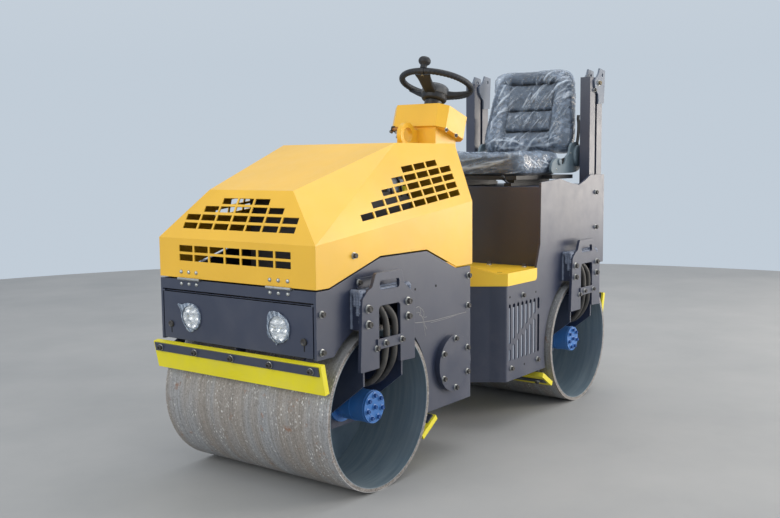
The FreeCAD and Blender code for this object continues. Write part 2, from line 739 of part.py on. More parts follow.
def hood_hinges():
    """Two barrel hinges in front of the gap between the hood and the strip."""
    face = front + s.nose_reach
    axis = (face + s.hinge_ahead, 0, s.shoulder_top + s.hood_gap / 2)
    top = s.shoulder_top + s.hood_gap
    near, far = HINGES
    third = (far - near) / 3
    low = []
    for y0 in (near, far - third):
        span = (y0, y0 + third - 0.3)
        low.append(bar("y", axis, s.hinge_radius, span))
        low.append(block((face - 8, face + s.hinge_ahead), span, (s.shoulder_top, s.shoulder_top + 2)))
        low.append(block((face - 8, face - 5), span, (s.shoulder_top - 30, s.shoulder_top + 2)))
    node("hood_hinge_frames", pair(fuse(*low, bar("y", axis, s.hinge_pin, (near, far)))))
    span = (near + third + 0.3, far - third - 0.6)
    inside = face - s.hood_wall
    high = fuse(bar("y", axis, s.hinge_radius, span),
                block((inside - 3, face + s.hinge_ahead), span, (top - 2.5, top - 0.5)),
                block((inside - 3, inside), span, (top - 2.5, top + 34)))
    bore = bar("y", axis, s.hinge_pin + s.run_gap, (near - 5, far + 5))
    node("hood_hinge_leaves", pair(cut(high, bore)))


def engine():
    """The engine's mass as one plain block on the deck, on two bearers."""
    x1 = front + s.engine_front
    x0 = x1 - s.engine_long
    bearers = [block((x0, x1), (y - 20, y + 20), (s.deck_top, s.deck_top + 14)) for y in (-120, 120)]
    body = block((x0, x1), (-s.engine_half, s.engine_half), (s.deck_top + 14, s.deck_top + s.engine_tall))
    node("engine_block", fuse(body, *bearers))


def lamp_panel():
    """Folded front panel that hangs on two side pivots, with a pair of round lamps in it."""
    face = front + s.nose_reach
    half = plate_in - s.panel_gap
    low = s.nose_low + s.panel_gap
    tray = cut(block((face - s.panel_depth, face), (-half, half), (low, s.panel_top)),
               block((face - s.panel_depth - 1, face - s.panel_wall),
                     (s.panel_wall - half, half - s.panel_wall),
                     (low + s.panel_wall, s.panel_top - s.panel_wall)))
    openings = [bar("x", (0, y, s.lamp_up), s.lamp_radius, (face - 30, face + 10))
                for y in (-s.lamp_across, s.lamp_across)]
    pivots = bar("y", (front + s.nose_reach - 3, 0, s.panel_top - 2), 4 + s.run_gap, (-half - 5, half + 5))
    lugs = [block((face - 12, face - 0.5), (y0, y0 + 6), (s.panel_top - 11, s.panel_top))
            for y0 in (-half, half - 6)]
    node("lamp_panel", cut(fuse(tray, *lugs), *openings, pivots))
    lamps = []
    for y in (-s.lamp_across, s.lamp_across):
        rim = bar("x", (0, y, s.lamp_up), s.lamp_radius + 4, (face, face + 6))
        bowl = bar("x", (0, y, s.lamp_up), s.lamp_radius, (face - s.lamp_depth, face))
        lamps.append(fuse(rim, bowl))
    node("headlamps", group(*lamps))


# ---------------------------------------------------------------- rear frame

LOUVRE_PITCH = 35.5


def louvres():
    """Eight upright slots with round ends each side, split by a rising diagonal band."""
    cutters = []
    for i in range(8):
        x = -s.box_front - 32 - LOUVRE_PITCH * i
        split = 340 + 16.6 * i
        for low, high in ((s.belly_low + 83, split - 11), (split + 11, s.belly_low + 320)):
            outline = [Vector(a, plate_in - 5, b) for a, b in ((x, low), (x + 18, low), (x + 18, high), (x, high))]
            cutters.append(shape("Slot", slab(outline, 8.9, Vector(0, s.frame_half + 10 - plate_in, 0))))
    return cutters


def rear_frame():
    """Side plates with their wavy top and louvres, nose, cheeks, bulkhead and side box floors."""
    x, nose = rear, -s.box_front
    top = s.step_top - s.step_wall
    outline = ((nose, s.belly_low), (nose, top), (x + 380, top),
               (x + s.seat_box_reach + 5, s.seat_deck - 246), (x + s.seat_box_reach, s.seat_deck + 20),
               (x + 164, s.seat_deck + 33), (x + 60, s.seat_deck + 12), (x - 28, s.seat_deck + 1),
               (x - 95, s.seat_deck + 22), (x - 150, s.seat_deck + 45), (x - s.tail_reach, s.seat_deck + 45),
               (x - s.tail_reach, s.tail_low), (x - 165, s.tail_low), (x - 150, s.tail_low - 73),
               (x, s.tail_low - 113), (x + 200, s.belly_low + 100), (x + 200, s.belly_low))
    side = cut(plate("xz", outline, plate_in, s.frame_half), arch(rear), *louvres())
    node("rear_side_plates", pair(side))
    tip = nose + s.nose_run
    thick = s.inner_wall + 2
    chamfer = plate("xy", ((nose - thick, plate_in), (nose, plate_in), (tip, s.nose_half),
                           (tip - thick, s.nose_half)), s.belly_low, top)
    back = x + s.bulkhead_reach
    cheek = block((back, tip), (s.nose_half - s.inner_wall, s.nose_half), (s.belly_low, top))
    floor = plate("xy", ((back, s.nose_half), (back, plate_in), (nose - thick, plate_in),
                         (tip - thick, s.nose_half)), s.belly_low, s.belly_low + s.inner_wall)
    bulkhead = block((back - s.inner_wall, back), (-plate_in, plate_in), (s.belly_low, s.tail_low))
    bridge = block((back - s.inner_wall, tip), (s.inner_wall - s.nose_half, s.nose_half - s.inner_wall),
                   (top - s.inner_wall, top))
    tongue = block((tip, 10), (-110, 110), (top - s.inner_wall, top))
    halves = fuse(chamfer, cheek, floor)
    box_space = block((x, x + s.seat_box_reach), (-plate_in, plate_in), (s.tail_low, s.seat_deck))
    node("rear_cross_plates", cut(fuse(halves, twin(halves), bulkhead, bridge, tongue), box_space))


def rear_yoke():
    """Lugs that reach forward to the pivot, with the pivot pin and the cylinder's rear pin."""
    back = rear + s.bulkhead_reach
    low = s.yoke_low + s.yoke_wall + s.yoke_gap
    high = s.yoke_high - s.yoke_wall - s.yoke_gap
    lugs = []
    for span in ((low, low + s.yoke_wall), (high - s.yoke_wall, high)):
        lugs.append(block((back, 0), (-s.yoke_radius, s.yoke_radius), span))
        lugs.append(bar("z", (0, 0, 0), s.yoke_radius, span))
    web = block((back, -s.yoke_radius - 10), (-s.inner_wall, s.inner_wall), (low, high))
    pin = bar("z", (0, 0, 0), s.steer_pin, (s.yoke_low - 6, s.yoke_high + 6))
    spot = (back + s.cylinder_ahead, -s.cylinder_side, 0)
    for level in (s.cylinder_up - 44, s.cylinder_up + 32):
        lugs.append(block((back, spot[0]), (spot[1] - 24, spot[1] + 24), (level, level + 12)))
        lugs.append(bar("z", spot, 24, (level, level + 12)))
    foot = bar("z", spot, 10, (s.cylinder_up - 48, s.cylinder_up + 48))
    node("rear_yoke", fuse(*lugs, web, pin, foot))


def steering_cylinder():
    """Barrel on its rear pin, and the rod that slides in it up to an open eye at the front."""
    rear_x = rear + s.bulkhead_reach + s.cylinder_ahead
    reach = s.crank_ahead - rear_x
    z = s.cylinder_up
    lean = math.degrees(math.atan2(float(s.cylinder_side) - float(s.crank), float(reach)))
    tube = bar("x", (0, 0, 0), s.barrel_radius, (20, 250))
    eye = bar("z", (0, 0, 0), 24, (-25, 25))
    barrel = cut(fuse(tube, eye), bar("z", (0, 0, 0), 10 + s.run_gap, (-30, 30)),
                 bar("x", (0, 0, 0), s.rod_radius + s.run_gap, (28, 260)))
    rod = fuse(bar("x", (0, 0, 0), s.rod_radius, (100, reach - 18)),
               bar("z", (reach, 0, 0), 24, (-20, 20)))
    for label, piece in (("cylinder_barrel", barrel), ("cylinder_rod", rod)):
        holder = group(piece)
        place(holder, rear_x, -s.cylinder_side, z, (0, 0, 1), lean)
        node(label, holder)


def step_form():
    """Yellow step: flat top, side skirts and a toe guard that rises inboard along the nose."""
    x = float(rear)
    wall = float(s.step_wall)
    top, half = float(s.step_top), float(s.frame_half)
    nose, tip = -float(s.box_front), float(s.nose_run) - float(s.box_front)
    inner, low = float(s.nose_half), float(s.step_top) - float(s.step_skirt)
    back = x + float(s.seat_box_reach)
    flange = half - float(s.side_wall)
    outline = [(back, flange), (x + 380, flange), (x + 380, half + wall), (nose, half + wall), (tip, inner),
               (tip, 110), (10, 110)]
    outline += [(a, -b) for a, b in reversed(outline)]
    sheet_top = flat([Vector(a, b, top - wall) for a, b in outline]).extrude(Vector(0, 0, wall))
    run = Vector(tip - nose, inner - half, 0)
    out = Vector(-run.y, run.x, 0).normalize() * wall
    reach = run.Length
    along = run.normalize()
    foot = Vector(nose, half, 0)
    guard = [(0, low), (0, top), (0.22 * reach, top), (reach, top + float(s.step_toe)), (reach, low)]
    if out.x < 0:
        out = -out
    toe = flat([foot + along * a + Vector(0, 0, b) for a, b in guard]).extrude(out)
    skirt = upright([(x + 380, low), (nose + 2, low), (nose + 2, top), (x + 380, top)], half + wall,
                    [20, 0, 0, 5], wall)
    sides = toe.fuse(skirt)
    return sheet_top.fuse(sides).fuse(sides.mirror(Vector(0, 0, 0), Vector(0, 1, 0))).removeSplitter()


def seat_box():
    """Front wall, deck, rear wall and floor as one folded tube between the side plates."""
    span = (rear - s.tail_reach, rear + s.seat_box_reach)
    wall = 6
    node("seat_box", cut(block(span, (-plate_in, plate_in), (s.tail_low, s.seat_deck)),
                         block((span[0] + wall, span[1] - wall), (-plate_in - 1, plate_in + 1),
                               (s.tail_low + wall, s.seat_deck - wall))))


# a roll bar ear from its post's front face back and its front channel's top up, with its pin hole
EAR = ((-87, 44), (-145, 36), (-136, -118), (-75, -123), (-73, -80), (-52, -63), (-36, -42), (-31, -17),
       (-52, -1), (-76, 21))
EAR_HOLE = (-115, 14)


def roll_bar_posts():
    """Each post is two channels with a slot between them, and an ear plate on both its sides."""
    back = rear - s.tail_reach - s.post_over
    slot = (back + s.post_chord, back + s.post_chord + s.post_slot)
    face = slot[1] + s.post_chord
    across = (s.post_across, s.post_across + s.post_width)
    first = block((slot[1], face), across, (s.seat_deck, s.post_top))
    second = block((back, slot[0]), across, (s.seat_deck, s.post_rear_top))
    web = block(slot, (s.post_across + 18, s.post_across + 32), (s.seat_deck, s.post_rear_top))
    node("roll_bar_posts", pair(fuse(first, second, web)))
    outline = [(face + x, s.post_top + z) for x, z in EAR]
    hole = bar("y", (face + EAR_HOLE[0], 0, s.post_top + EAR_HOLE[1]), 8,
               (s.post_across - s.ear_wall - 1, s.post_across + s.post_width + s.ear_wall + 1))
    plates = [plate("xz", outline, low, low + s.ear_wall)
              for low in (s.post_across - s.ear_wall, s.post_across + s.post_width)]
    node("roll_bar_ears", pair(cut(group(*plates), hole)))


# ---------------------------------------------------------------- operator's place

def console():
    """Column, lifting ring, tilted eight-sided head, neck and key switch."""
    base = (s.head_ahead, 0, s.head_up)
    tilt = (0, 1, 0)
    lean = -s.head_tilt
    above = place(group(block((-400, 200), (-200, 200), (0, 300))), *base, tilt, lean)
    column = block((s.column_rear, s.column_front), (-s.column_half, s.column_half), (s.step_top, s.head_up + 55))
    hollow = block((s.column_rear + 5, s.column_front - 5), (5 - s.column_half, s.column_half - 5),
                   (s.step_top - 1, s.head_up - 95))
    ring_at = (s.column_front + s.ring_radius + s.ring_ahead, 0, s.ring_up)
    ring = fuse(bar("y", ring_at, s.ring_radius, (-s.ring_wall / 2, s.ring_wall / 2)),
                block((s.column_front - 1, ring_at[0]), (-s.ring_wall / 2, s.ring_wall / 2),
                      (ring_at[2] - 40, ring_at[2] + 22)))
    eye = bar("y", ring_at, s.ring_hole, (-s.ring_wall, s.ring_wall))
    node("console_column", cut(fuse(cut(column, hollow), cut(ring, eye)), above))
    flank = s.head_half - 33
    outline = ((0, -flank), (0, flank), (-33, s.head_half), (-171, s.head_half), (-204, flank),
               (-204, -flank), (-171, -s.head_half), (-33, -s.head_half))
    node("console_head", place(group(plate("xy", outline, 0, s.head_tall)), *base, tilt, lean))
    neck = fuse(bar("z", (-s.hub_back, 0, 0), 37, (s.head_tall, s.head_tall + 50)),
                bar("z", (-s.hub_back, 0, 0), 12, (s.head_tall, s.head_tall + 72)))
    node("steering_neck", place(group(neck), *base, tilt, lean))
    switch = fuse(bar("z", (-46, -s.column_half - 17, 0), 11, (-12, 0)),
                  bar("z", (-46, -s.column_half - 17, 0), 3.5, (-32, -12)))
    node("key_switch", place(group(switch), *base, tilt, lean))


SPOKES = (10, 130, 250)      # degrees round the wheel from its front; the knob stands over the first
# a spoke's section from the shaft out, above the underside of the hub
SPOKE = ((40, 22), (40, 50), (70, 52), (118, 63), (0, 68), (0, 58), (118, 50), (78, 33), (50, 22))


def steering_wheel():
    """Torus rim on three dished spokes, a hub in a flared cup under a round cap, and a spinner knob."""
    base = (s.head_ahead, 0, s.head_up)
    hub_x, rim_up = -float(s.hub_back), float(s.head_tall) + 127
    radius, section = float(s.wheel_radius), float(s.rim_radius)
    up = Vector(0, 0, 1)
    low = float(s.head_tall) + 51
    wheel = Part.makeTorus(radius, section, Vector(0, 0, rim_up), up)
    wheel = wheel.fuse(Part.makeCone(45, 53.5, 10, Vector(0, 0, low), up))
    wheel = wheel.fuse(Part.makeCylinder(53.5, 20, Vector(0, 0, low + 10), up))
    cap = Part.makeCylinder(56, 40, Vector(0, 0, low + 28), up)
    wheel = wheel.fuse(cap.makeFillet(14, [edge for edge in cap.Edges
                                           if edge.BoundBox.ZMin > low + 67 and edge.Closed]))
    for angle in SPOKES:
        spots = [Vector(a or radius, -25, low + b) for a, b in SPOKE]
        spoke = flat(spots).extrude(Vector(0, 50, 0))
        wheel = wheel.fuse(spoke.rotate(Vector(0, 0, 0), up, angle))
    bore = Part.makeCylinder(12 + float(s.run_gap), 25, Vector(0, 0, low - 1), up)
    wheel = wheel.cut(bore).removeSplitter()
    turn = math.radians(SPOKES[0])
    foot = Vector(radius * math.cos(turn), radius * math.sin(turn), rim_up)
    knob = Part.makeCylinder(14, 26, foot + up * 4, up)
    ball = Part.makeSphere(25.5, foot + up * 42)
    ball = ball.common(Part.makeBox(60, 60, 32, foot + Vector(-30, -30, 28)))
    seat_ring = Part.makeTorus(radius, section + float(s.run_gap), Vector(0, 0, rim_up), up)
    knob = knob.fuse(ball).cut(seat_ring)
    turn = FreeCAD.Rotation(Vector(0, 1, 0), -float(s.head_tilt))
    spot = Vector(*map(float, base)) + turn.multVec(Vector(hub_x, 0, 0))
    for label, solid in (("steering_wheel", wheel), ("steering_knob", knob)):
        piece = shape(label, solid)
        piece.Placement = FreeCAD.Placement(spot, turn)
        node(label, piece)


def soft_block(outline, radius, direction, bevel):
    """A rounded outline carried along a direction, with its rims bevelled."""
    solid = slab(outline, radius, direction)
    axis = Vector(direction).normalize()
    rims = [edge for edge in solid.Edges
            if abs((edge.Vertexes[0].Point - edge.Vertexes[-1].Point).dot(axis)) < 1e-6]
    return solid.makeChamfer(bevel, rims)


def seat():
    """Rails on the deck, slides and pan, cushion, back and the side brackets that hold the back."""
    x1 = float(rear) + float(s.seat_box_reach) - float(s.cushion_inset)
    x0 = x1 - float(s.cushion_long)
    cushion_up = s.seat_deck + s.cushion_rise
    rails = [block((x0 + 20, x1 - 40), (y - 18, y + 18), (s.seat_deck, s.seat_deck + 14)) for y in (-145, 145)]
    node("seat_rails", group(*rails))
    under = s.seat_deck + 14.3
    slides = [block((x0 + 40, x1 - 60), (y - 22, y + 22), (under, cushion_up - 20)) for y in (-145, 145)]
    pan = block((x0 + 10, x1 - 20), (-200, 200), (cushion_up - 20, cushion_up - 2))
    wings = block((x1 - 468, x1 - 258), (-s.seat_half - 15, s.seat_half + 15), (cushion_up - 20, cushion_up - 2))
    node("seat_pan", fuse(*slides, pan, wings))
    half, up = float(s.seat_half), float(cushion_up)
    outline = [Vector(x0, -half, up), Vector(x1, -half, up), Vector(x1, half, up), Vector(x0, half, up)]
    node("seat_cushion", shape("Cushion", soft_block(outline, 45, Vector(0, 0, float(s.cushion_tall)), 16)))
    tall, wall = float(s.back_tall), float(s.back_wall)
    edges = [(-half, 0), (half, 0), (half, tall * 0.25), (half - 30, tall * 0.82),
             (half - 62, tall), (62 - half, tall), (30 - half, tall * 0.82), (-half, tall * 0.25)]
    back = soft_block([Vector(-wall / 2, y, z) for y, z in edges], [20, 20, 0, 40, 30, 30, 40, 0],
                      Vector(wall, 0, 0), 14)
    piece = shape("Back", back)
    foot = Vector(x0 - 10, 0, up + float(s.cushion_tall) + 4)
    piece.Placement = FreeCAD.Placement(foot, FreeCAD.Rotation(Vector(0, 1, 0), -float(s.back_tilt)))
    node("seat_back", piece)
    side = [(x1 + x, up + z) for x, z in ((-468, -2), (-562, 38), (-550, 134), (-483, 148), (-403, 90),
                                          (-302, 62), (-263, 24), (-273, -2))]
    arm = upright(side, half + 14.3, 8, 14)
    node("seat_brackets", pair(shape("Arm", arm)))


def write_parts():
    doc.recompute()
    for thing in doc.Objects:
        bad = [word for word in thing.State if word in ("Invalid", "Error")]
        if bad:
            raise RuntimeError(f"{thing.Name} {thing.Label}: {bad}")
    os.makedirs("parts", exist_ok=True)
    for piece in NODES:
        if piece.Shape.isNull() or not piece.Shape.isValid():
            raise RuntimeError(f"{piece.Label} has no valid shape")
        piece.Shape.exportStep(f"parts/{piece.Label}.step")
        box = piece.Shape.BoundBox
        print(f"{piece.Label}: {len(piece.Shape.Solids)} solids, {box.XMin:.0f}..{box.XMax:.0f}, "
              f"{box.YMin:.0f}..{box.YMax:.0f}, {box.ZMin:.0f}..{box.ZMax:.0f}")


for label, axle, outward in (("front", front, 1), ("rear", rear, -1)):
    drum(label, axle)
    drum_carriers(label, axle)
    scrapers(label, axle, outward)
front_frame()
hood()
hood_hinges()
engine()
lamp_panel()
rear_frame()
rear_yoke()
steering_cylinder()
node("foot_step", shape("Step", step_form()))
seat_box()
roll_bar_posts()
console()
steering_wheel()
seat()
write_parts()
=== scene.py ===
"""Looks of the ride-on tandem roller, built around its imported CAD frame.

Pieces are drawn in millimetres and built in metres; finishes, lights and camera are in metres. +X is
forward, towards the hood, +Y is the machine's left and +Z is up; the ground is z = 0.
Sections: values, finishes, shapes, pieces by area, studio.
"""
import json

import bmesh
import bpy
import numpy as np
from mathutils import Matrix, Vector
from numpy import arange, array, clip, column_stack, cos, linspace, pi, radians, sin, sqrt, stack
from numpy.linalg import norm


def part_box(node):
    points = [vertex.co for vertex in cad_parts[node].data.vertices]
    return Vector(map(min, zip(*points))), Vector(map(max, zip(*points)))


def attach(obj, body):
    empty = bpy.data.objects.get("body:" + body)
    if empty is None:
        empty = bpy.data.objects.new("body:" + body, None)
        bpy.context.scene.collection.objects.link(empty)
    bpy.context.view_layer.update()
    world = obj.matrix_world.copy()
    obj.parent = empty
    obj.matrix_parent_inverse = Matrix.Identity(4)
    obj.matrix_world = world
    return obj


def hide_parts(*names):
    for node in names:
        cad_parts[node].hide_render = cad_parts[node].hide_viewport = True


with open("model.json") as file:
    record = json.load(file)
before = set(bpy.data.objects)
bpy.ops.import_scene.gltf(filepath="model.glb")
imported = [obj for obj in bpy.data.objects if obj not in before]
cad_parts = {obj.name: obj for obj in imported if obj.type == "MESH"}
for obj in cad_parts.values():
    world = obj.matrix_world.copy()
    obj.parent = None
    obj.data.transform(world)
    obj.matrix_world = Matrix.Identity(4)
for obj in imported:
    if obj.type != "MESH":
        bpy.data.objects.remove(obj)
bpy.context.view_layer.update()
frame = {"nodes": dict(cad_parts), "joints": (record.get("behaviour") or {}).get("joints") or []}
scene = bpy.context.scene


# ---- places taken from the frame

MM = 0.001  # metres


def box(node):
    """The node's lowest and highest corners."""
    return array(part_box(node), float) / MM


def middle(node):
    return box(node).mean(0)


AXLES = {name: middle(f"{name}_drum_shell")[0] for name in ("front", "rear")}
AXLE_UP = middle("front_drum_shell")[2]
DRUM_OUTER = box("front_drum_shell")[1, 2] - AXLE_UP
DRUM_WALL = 15
NOSE_X = box("front_side_plates")[1, 0] - 1.5  # plane of the lamp panel and the front strip
PLATE_Y = box("front_side_plates")[1, 1]  # outer face of the side plates
STRAP_Y = box("front_brackets")[1, 1]  # outer face of the hose straps
BRACKET_Y = STRAP_Y - 6  # outer face of the bracket plates
MOTOR_Y = box("front_motors")[1, 1]
POST_X, _, POST_TOP = box("roll_bar_posts")[1]
EAR_Y = 348  # outer face of the roll bar's ears
STEP_TOP = 646
LAMP_Y, LAMP_Z = 204, 578
AHEAD, LEFT, UP = (1, 0, 0), (0, 1, 0), (0, 0, 1)
ROUND = 2 * pi


# ---- finishes

def shade(red, green, blue):
    """A colour given as display values from 0 to 255, as linear light."""
    parts = array([red, green, blue]) / 255
    linear = np.where(parts <= 0.04045, parts / 12.92, ((parts + 0.055) / 1.055) ** 2.4)
    return (*linear.tolist(), 1.0)


def scaled(colour, share):
    return tuple(min(1.0, part * share) for part in colour[:3]) + (1.0,)


class Finish:
    """A material being put together; each call adds one node and gives back its output."""

    def __init__(self, name, **sockets):
        self.material = bpy.data.materials.new(name)
        self.material.use_nodes = True
        self.tree = self.material.node_tree
        self.shader = self.tree.nodes["Principled BSDF"]
        self.place = self.add("TexCoord", out="Object")
        self.apart = self.add("SeparateXYZ", out=None, Vector=self.place).outputs
        self.set(**sockets)

    def set(self, **sockets):
        """Sets the shader's sockets, to values or to other nodes' outputs."""
        for name, value in sockets.items():
            self.plug(self.shader, name, value)
        return self.material

    def plug(self, node, name, value):
        socket = node.inputs[name.replace("_", " ") if isinstance(name, str) else name]
        if isinstance(value, bpy.types.NodeSocket):
            self.tree.links.new(value, socket)
        else:
            socket.default_value = value

    def add(self, kind, *inputs, out=0, **values):
        """Adds a node: inputs fill its first sockets; values are its settings, or sockets by their names."""
        node = self.tree.nodes.new("ShaderNode" + kind)
        for name, value in [*enumerate(inputs), *values.items()]:
            if hasattr(node, str(name)):
                setattr(node, name, value)
        for name, value in [*enumerate(inputs), *values.items()]:
            if not hasattr(node, str(name)):
                self.plug(node, name, value)
        return node if out is None else node.outputs[out]

    def math(self, kind, *values, clamp=False):
        return self.add("Math", *values, operation=kind, use_clamp=clamp)

    def times(self, first, second, clamp=False):
        return self.math("MULTIPLY", first, second, clamp=clamp)

    def times_plus(self, first, second, third):
        return self.math("MULTIPLY_ADD", first, second, third)

    def texture(self, kind, scale, **values):
        """A pattern in space; three scales give it another size along each axis."""
        place = self.place
        if isinstance(scale, tuple):
            place, scale = self.add("VectorMath", place, scale, operation="MULTIPLY"), 1.0
        return self.add(kind, Scale=scale, Vector=place, **values)

    def noise(self, scale, detail=4.0, rough=0.55, warp=0.0):
        return self.texture("TexNoise", scale, Detail=detail, Roughness=rough, Distortion=warp)

    def cells(self, scale):
        return self.texture("TexVoronoi", scale, out="Distance")

    def stored(self, name):
        return self.add("Attribute", out="Fac", attribute_name=name)

    def span(self, value, low, high, start=0.0, end=1.0):
        """Value from low..high to start..end, held at both ends."""
        return self.add("MapRange", value, low, high, start, end, clamp=True)

    def mix(self, share, first, second):
        node = self.add("Mix", out=None, data_type="RGBA")
        for socket, value in ((0, share), (6, first), (7, second)):
            self.plug(node, socket, value)
        return node.outputs[2]

    def lay(self, tone, *coats):
        """Lays colours over the tone one by one, each by its share, or by its share times the number after it."""
        for colour, share, *most in coats:
            tone = self.mix(self.times(share, *most) if most else share, tone, shade(*colour))
        return tone

    def edge(self, radius=0.002):
        """Rounded normal over sharp folds, and how near the surface is to one."""
        soft = self.add("Bevel", samples=4, Radius=radius)
        sharp = self.add("NewGeometry", out="Normal")
        alike = self.add("VectorMath", soft, sharp, out="Value", operation="DOT_PRODUCT")
        return soft, self.span(alike, 0.995, 0.8)

    def bump(self, height, depth, strength=1.0, **normal):
        return self.add("Bump", Strength=strength, Distance=depth, Height=height, **normal)


FLOOR_DUST = (176, 168, 156)


def painted(name, colour, edge_colour, rough=0.36, peel=0.00004, dust=0.12, coat=0.0, wear_and_highlight=0.35, coat_rough=0.12):
    """Sprayed enamel over sheet steel: slight colour drift, fine peel, pale folds that are partly wear and partly a
    painted highlight, floor dust low down.
    """
    look = Finish(name, Coat_Weight=coat, Coat_Roughness=coat_rough)
    soft, near = look.edge(0.0015)
    drift = look.span(look.noise(2.3, 3), 0.3, 0.7)
    tone = look.mix(drift, scaled(colour, 0.9), scaled(colour, 1.07))
    patchy = look.span(look.noise(46, 5, 0.7), 0.42, 0.68)
    # pale folds: partly real wear, partly a painted highlight laid along every sharp bend
    worn_and_highlit = look.times(near, look.times_plus(patchy, 0.7, 0.3), clamp=True)
    tone = look.mix(look.times(worn_and_highlit, wear_and_highlight), tone, edge_colour)
    low = look.span(look.apart["Z"], 0.75, 0.15)
    film = look.times(look.span(look.noise(9, 6, 0.65), 0.4, 0.75), look.times_plus(low, 0.7, 0.3))
    tone = look.lay(tone, (FLOOR_DUST, film, dust))
    gloss = look.span(look.noise(17, 5, 0.6), 0.3, 0.75, rough - 0.05, rough + 0.1)
    return look.set(Base_Color=tone, Roughness=look.math("ADD", gloss, look.times(film, 0.25)),
                    Normal=look.bump(look.noise(520, 2), peel, Normal=soft))


# name: colour, colour of its pale folds (partly wear, partly painted highlight), and what differs from the usual enamel
ENAMELS = {
    "hood_yellow": ((238, 185, 40), (250, 222, 120), dict(rough=0.45, dust=0.06, coat=0.45, coat_rough=0.22)),
    # painted light: the hood's yellow made brighter and more orange for the step, standing in for light that does not
    # reach it
    "lit_step_yellow": ((255, 206, 40), (255, 226, 120), dict(rough=0.42, dust=0.06, coat=0.4, coat_rough=0.25)),
    "scraper_yellow": ((232, 218, 22), (240, 232, 120), dict(rough=0.45, dust=0.25, wear_and_highlight=0.2)),
    "frame_blue": ((44, 52, 74), (120, 128, 148), dict(rough=0.34, peel=0.000012, dust=0.07, coat=0.45,
                                                       coat_rough=0.3)),
    "motor_blue": ((52, 112, 182), (116, 164, 215), dict(rough=0.34, dust=0.15)),
    # painted shade: the motor's own blue darkened for its bolt heads
    "bolt_blue": ((28, 76, 142), (90, 140, 200), dict(rough=0.34, dust=0.05, wear_and_highlight=0.5)),
    "ear_grey": ((104, 114, 130), (170, 178, 190), dict(rough=0.42)),
    # painted light: pale grey for parts seen through openings, standing in for light that comes in through them
    "lit_tank_grey": ((146, 155, 171), (190, 200, 214), dict(rough=0.5, dust=0.3)),
    "recliner_grey": ((104, 121, 132), (150, 164, 172), dict(rough=0.4, wear_and_highlight=0.2)),
    "pad_grey": ((92, 96, 102), (120, 122, 126), dict(rough=0.4, wear_and_highlight=0.1)),
    "scratch_grey": ((158, 156, 154), (170, 168, 166), dict(rough=0.6)),
    "weld_bead": ((112, 122, 142), (170, 176, 186), dict(rough=0.5, wear_and_highlight=0.5)),
    "black_paint": ((34, 35, 38), (90, 92, 96), dict(rough=0.4)),
    "black_plastic": ((30, 31, 33), (60, 61, 64), dict(rough=0.38, wear_and_highlight=0.15)),
    "grip_black": ((24, 28, 36), (50, 54, 60), dict(rough=0.5, peel=0.00008, wear_and_highlight=0.1)),
    "hose_rubber": ((40, 40, 42), (70, 70, 72), dict(rough=0.5, dust=0.3)),
    "engine_iron": ((58, 59, 62), (90, 90, 92), dict(rough=0.6, wear_and_highlight=0.2)),
    "bolt_dark": ((52, 50, 50), (150, 148, 144), dict(rough=0.35, wear_and_highlight=0.6)),
    "brass": ((112, 98, 68), (170, 156, 116), dict(rough=0.32, wear_and_highlight=0.5)),
    "lamp_glass": ((220, 225, 230), (240, 240, 240), dict(rough=0.15)),
}
# the slot that a finish stands for, where it isn't one of the frame's own
SLOTS = {"bolt_blue": "motor_blue", "lamp_chrome": "rod_chrome", "lamp_chip": "lamp_glass", "clear_glass": "lamp_glass",
         "clear_film": "seat_vinyl", **dict.fromkeys(("pad_grey", "grip_black"), "black_plastic"),
         **dict.fromkeys(("bolt_dark", "brass", "painted_shade_black"), "black_paint"),
         **dict.fromkeys(("lit_tank_grey", "recliner_grey", "scratch_grey", "weld_bead"), "ear_grey")}


def bare_metal(name, tint, rough):
    """Plated steel, a little cloudy."""
    look = Finish(name, Metallic=0.95)
    cloud = look.span(look.noise(60, 5, 0.6), 0.3, 0.7)
    return look.set(Base_Color=look.mix(cloud, scaled(tint, 0.82), tint), Normal=look.edge(0.0008)[0],
                    Roughness=look.span(look.noise(150, 3), 0.3, 0.7, rough - 0.06, rough + 0.12))


def vinyl():
    """Seat cover: charcoal leathercloth with a fine pebble grain, with painted shade in its sewn channels."""
    look = Finish("seat_vinyl", Sheen_Weight=0.15, Sheen_Roughness=0.4)
    tone = look.mix(look.span(look.noise(6), 0.3, 0.7), shade(62, 70, 82), shade(82, 92, 106))
    # painted shade: the seam depth darkens the cover in its channels
    return look.set(Base_Color=look.lay(tone, ((16, 18, 22), look.stored("seam"))),
                    Roughness=look.span(look.noise(30), 0.3, 0.7, 0.34, 0.5),
                    Normal=look.bump(look.cells(620), 0.00018, 0.7))


def lens_glass():
    """Moulded lens under a protective film: a little milky, with level bands where the film has lifted."""
    look = Finish("clear_glass", IOR=1.45)
    bands = look.span(look.noise((30, 34, 120), 4, 0.6, 0.5), 0.48, 0.62)
    return look.set(Base_Color=look.mix(bands, shade(206, 214, 222), shade(244, 247, 250)),
                    Alpha=look.span(bands, 0, 1, 0.22, 0.62), Roughness=look.span(bands, 0, 1, 0.06, 0.3))


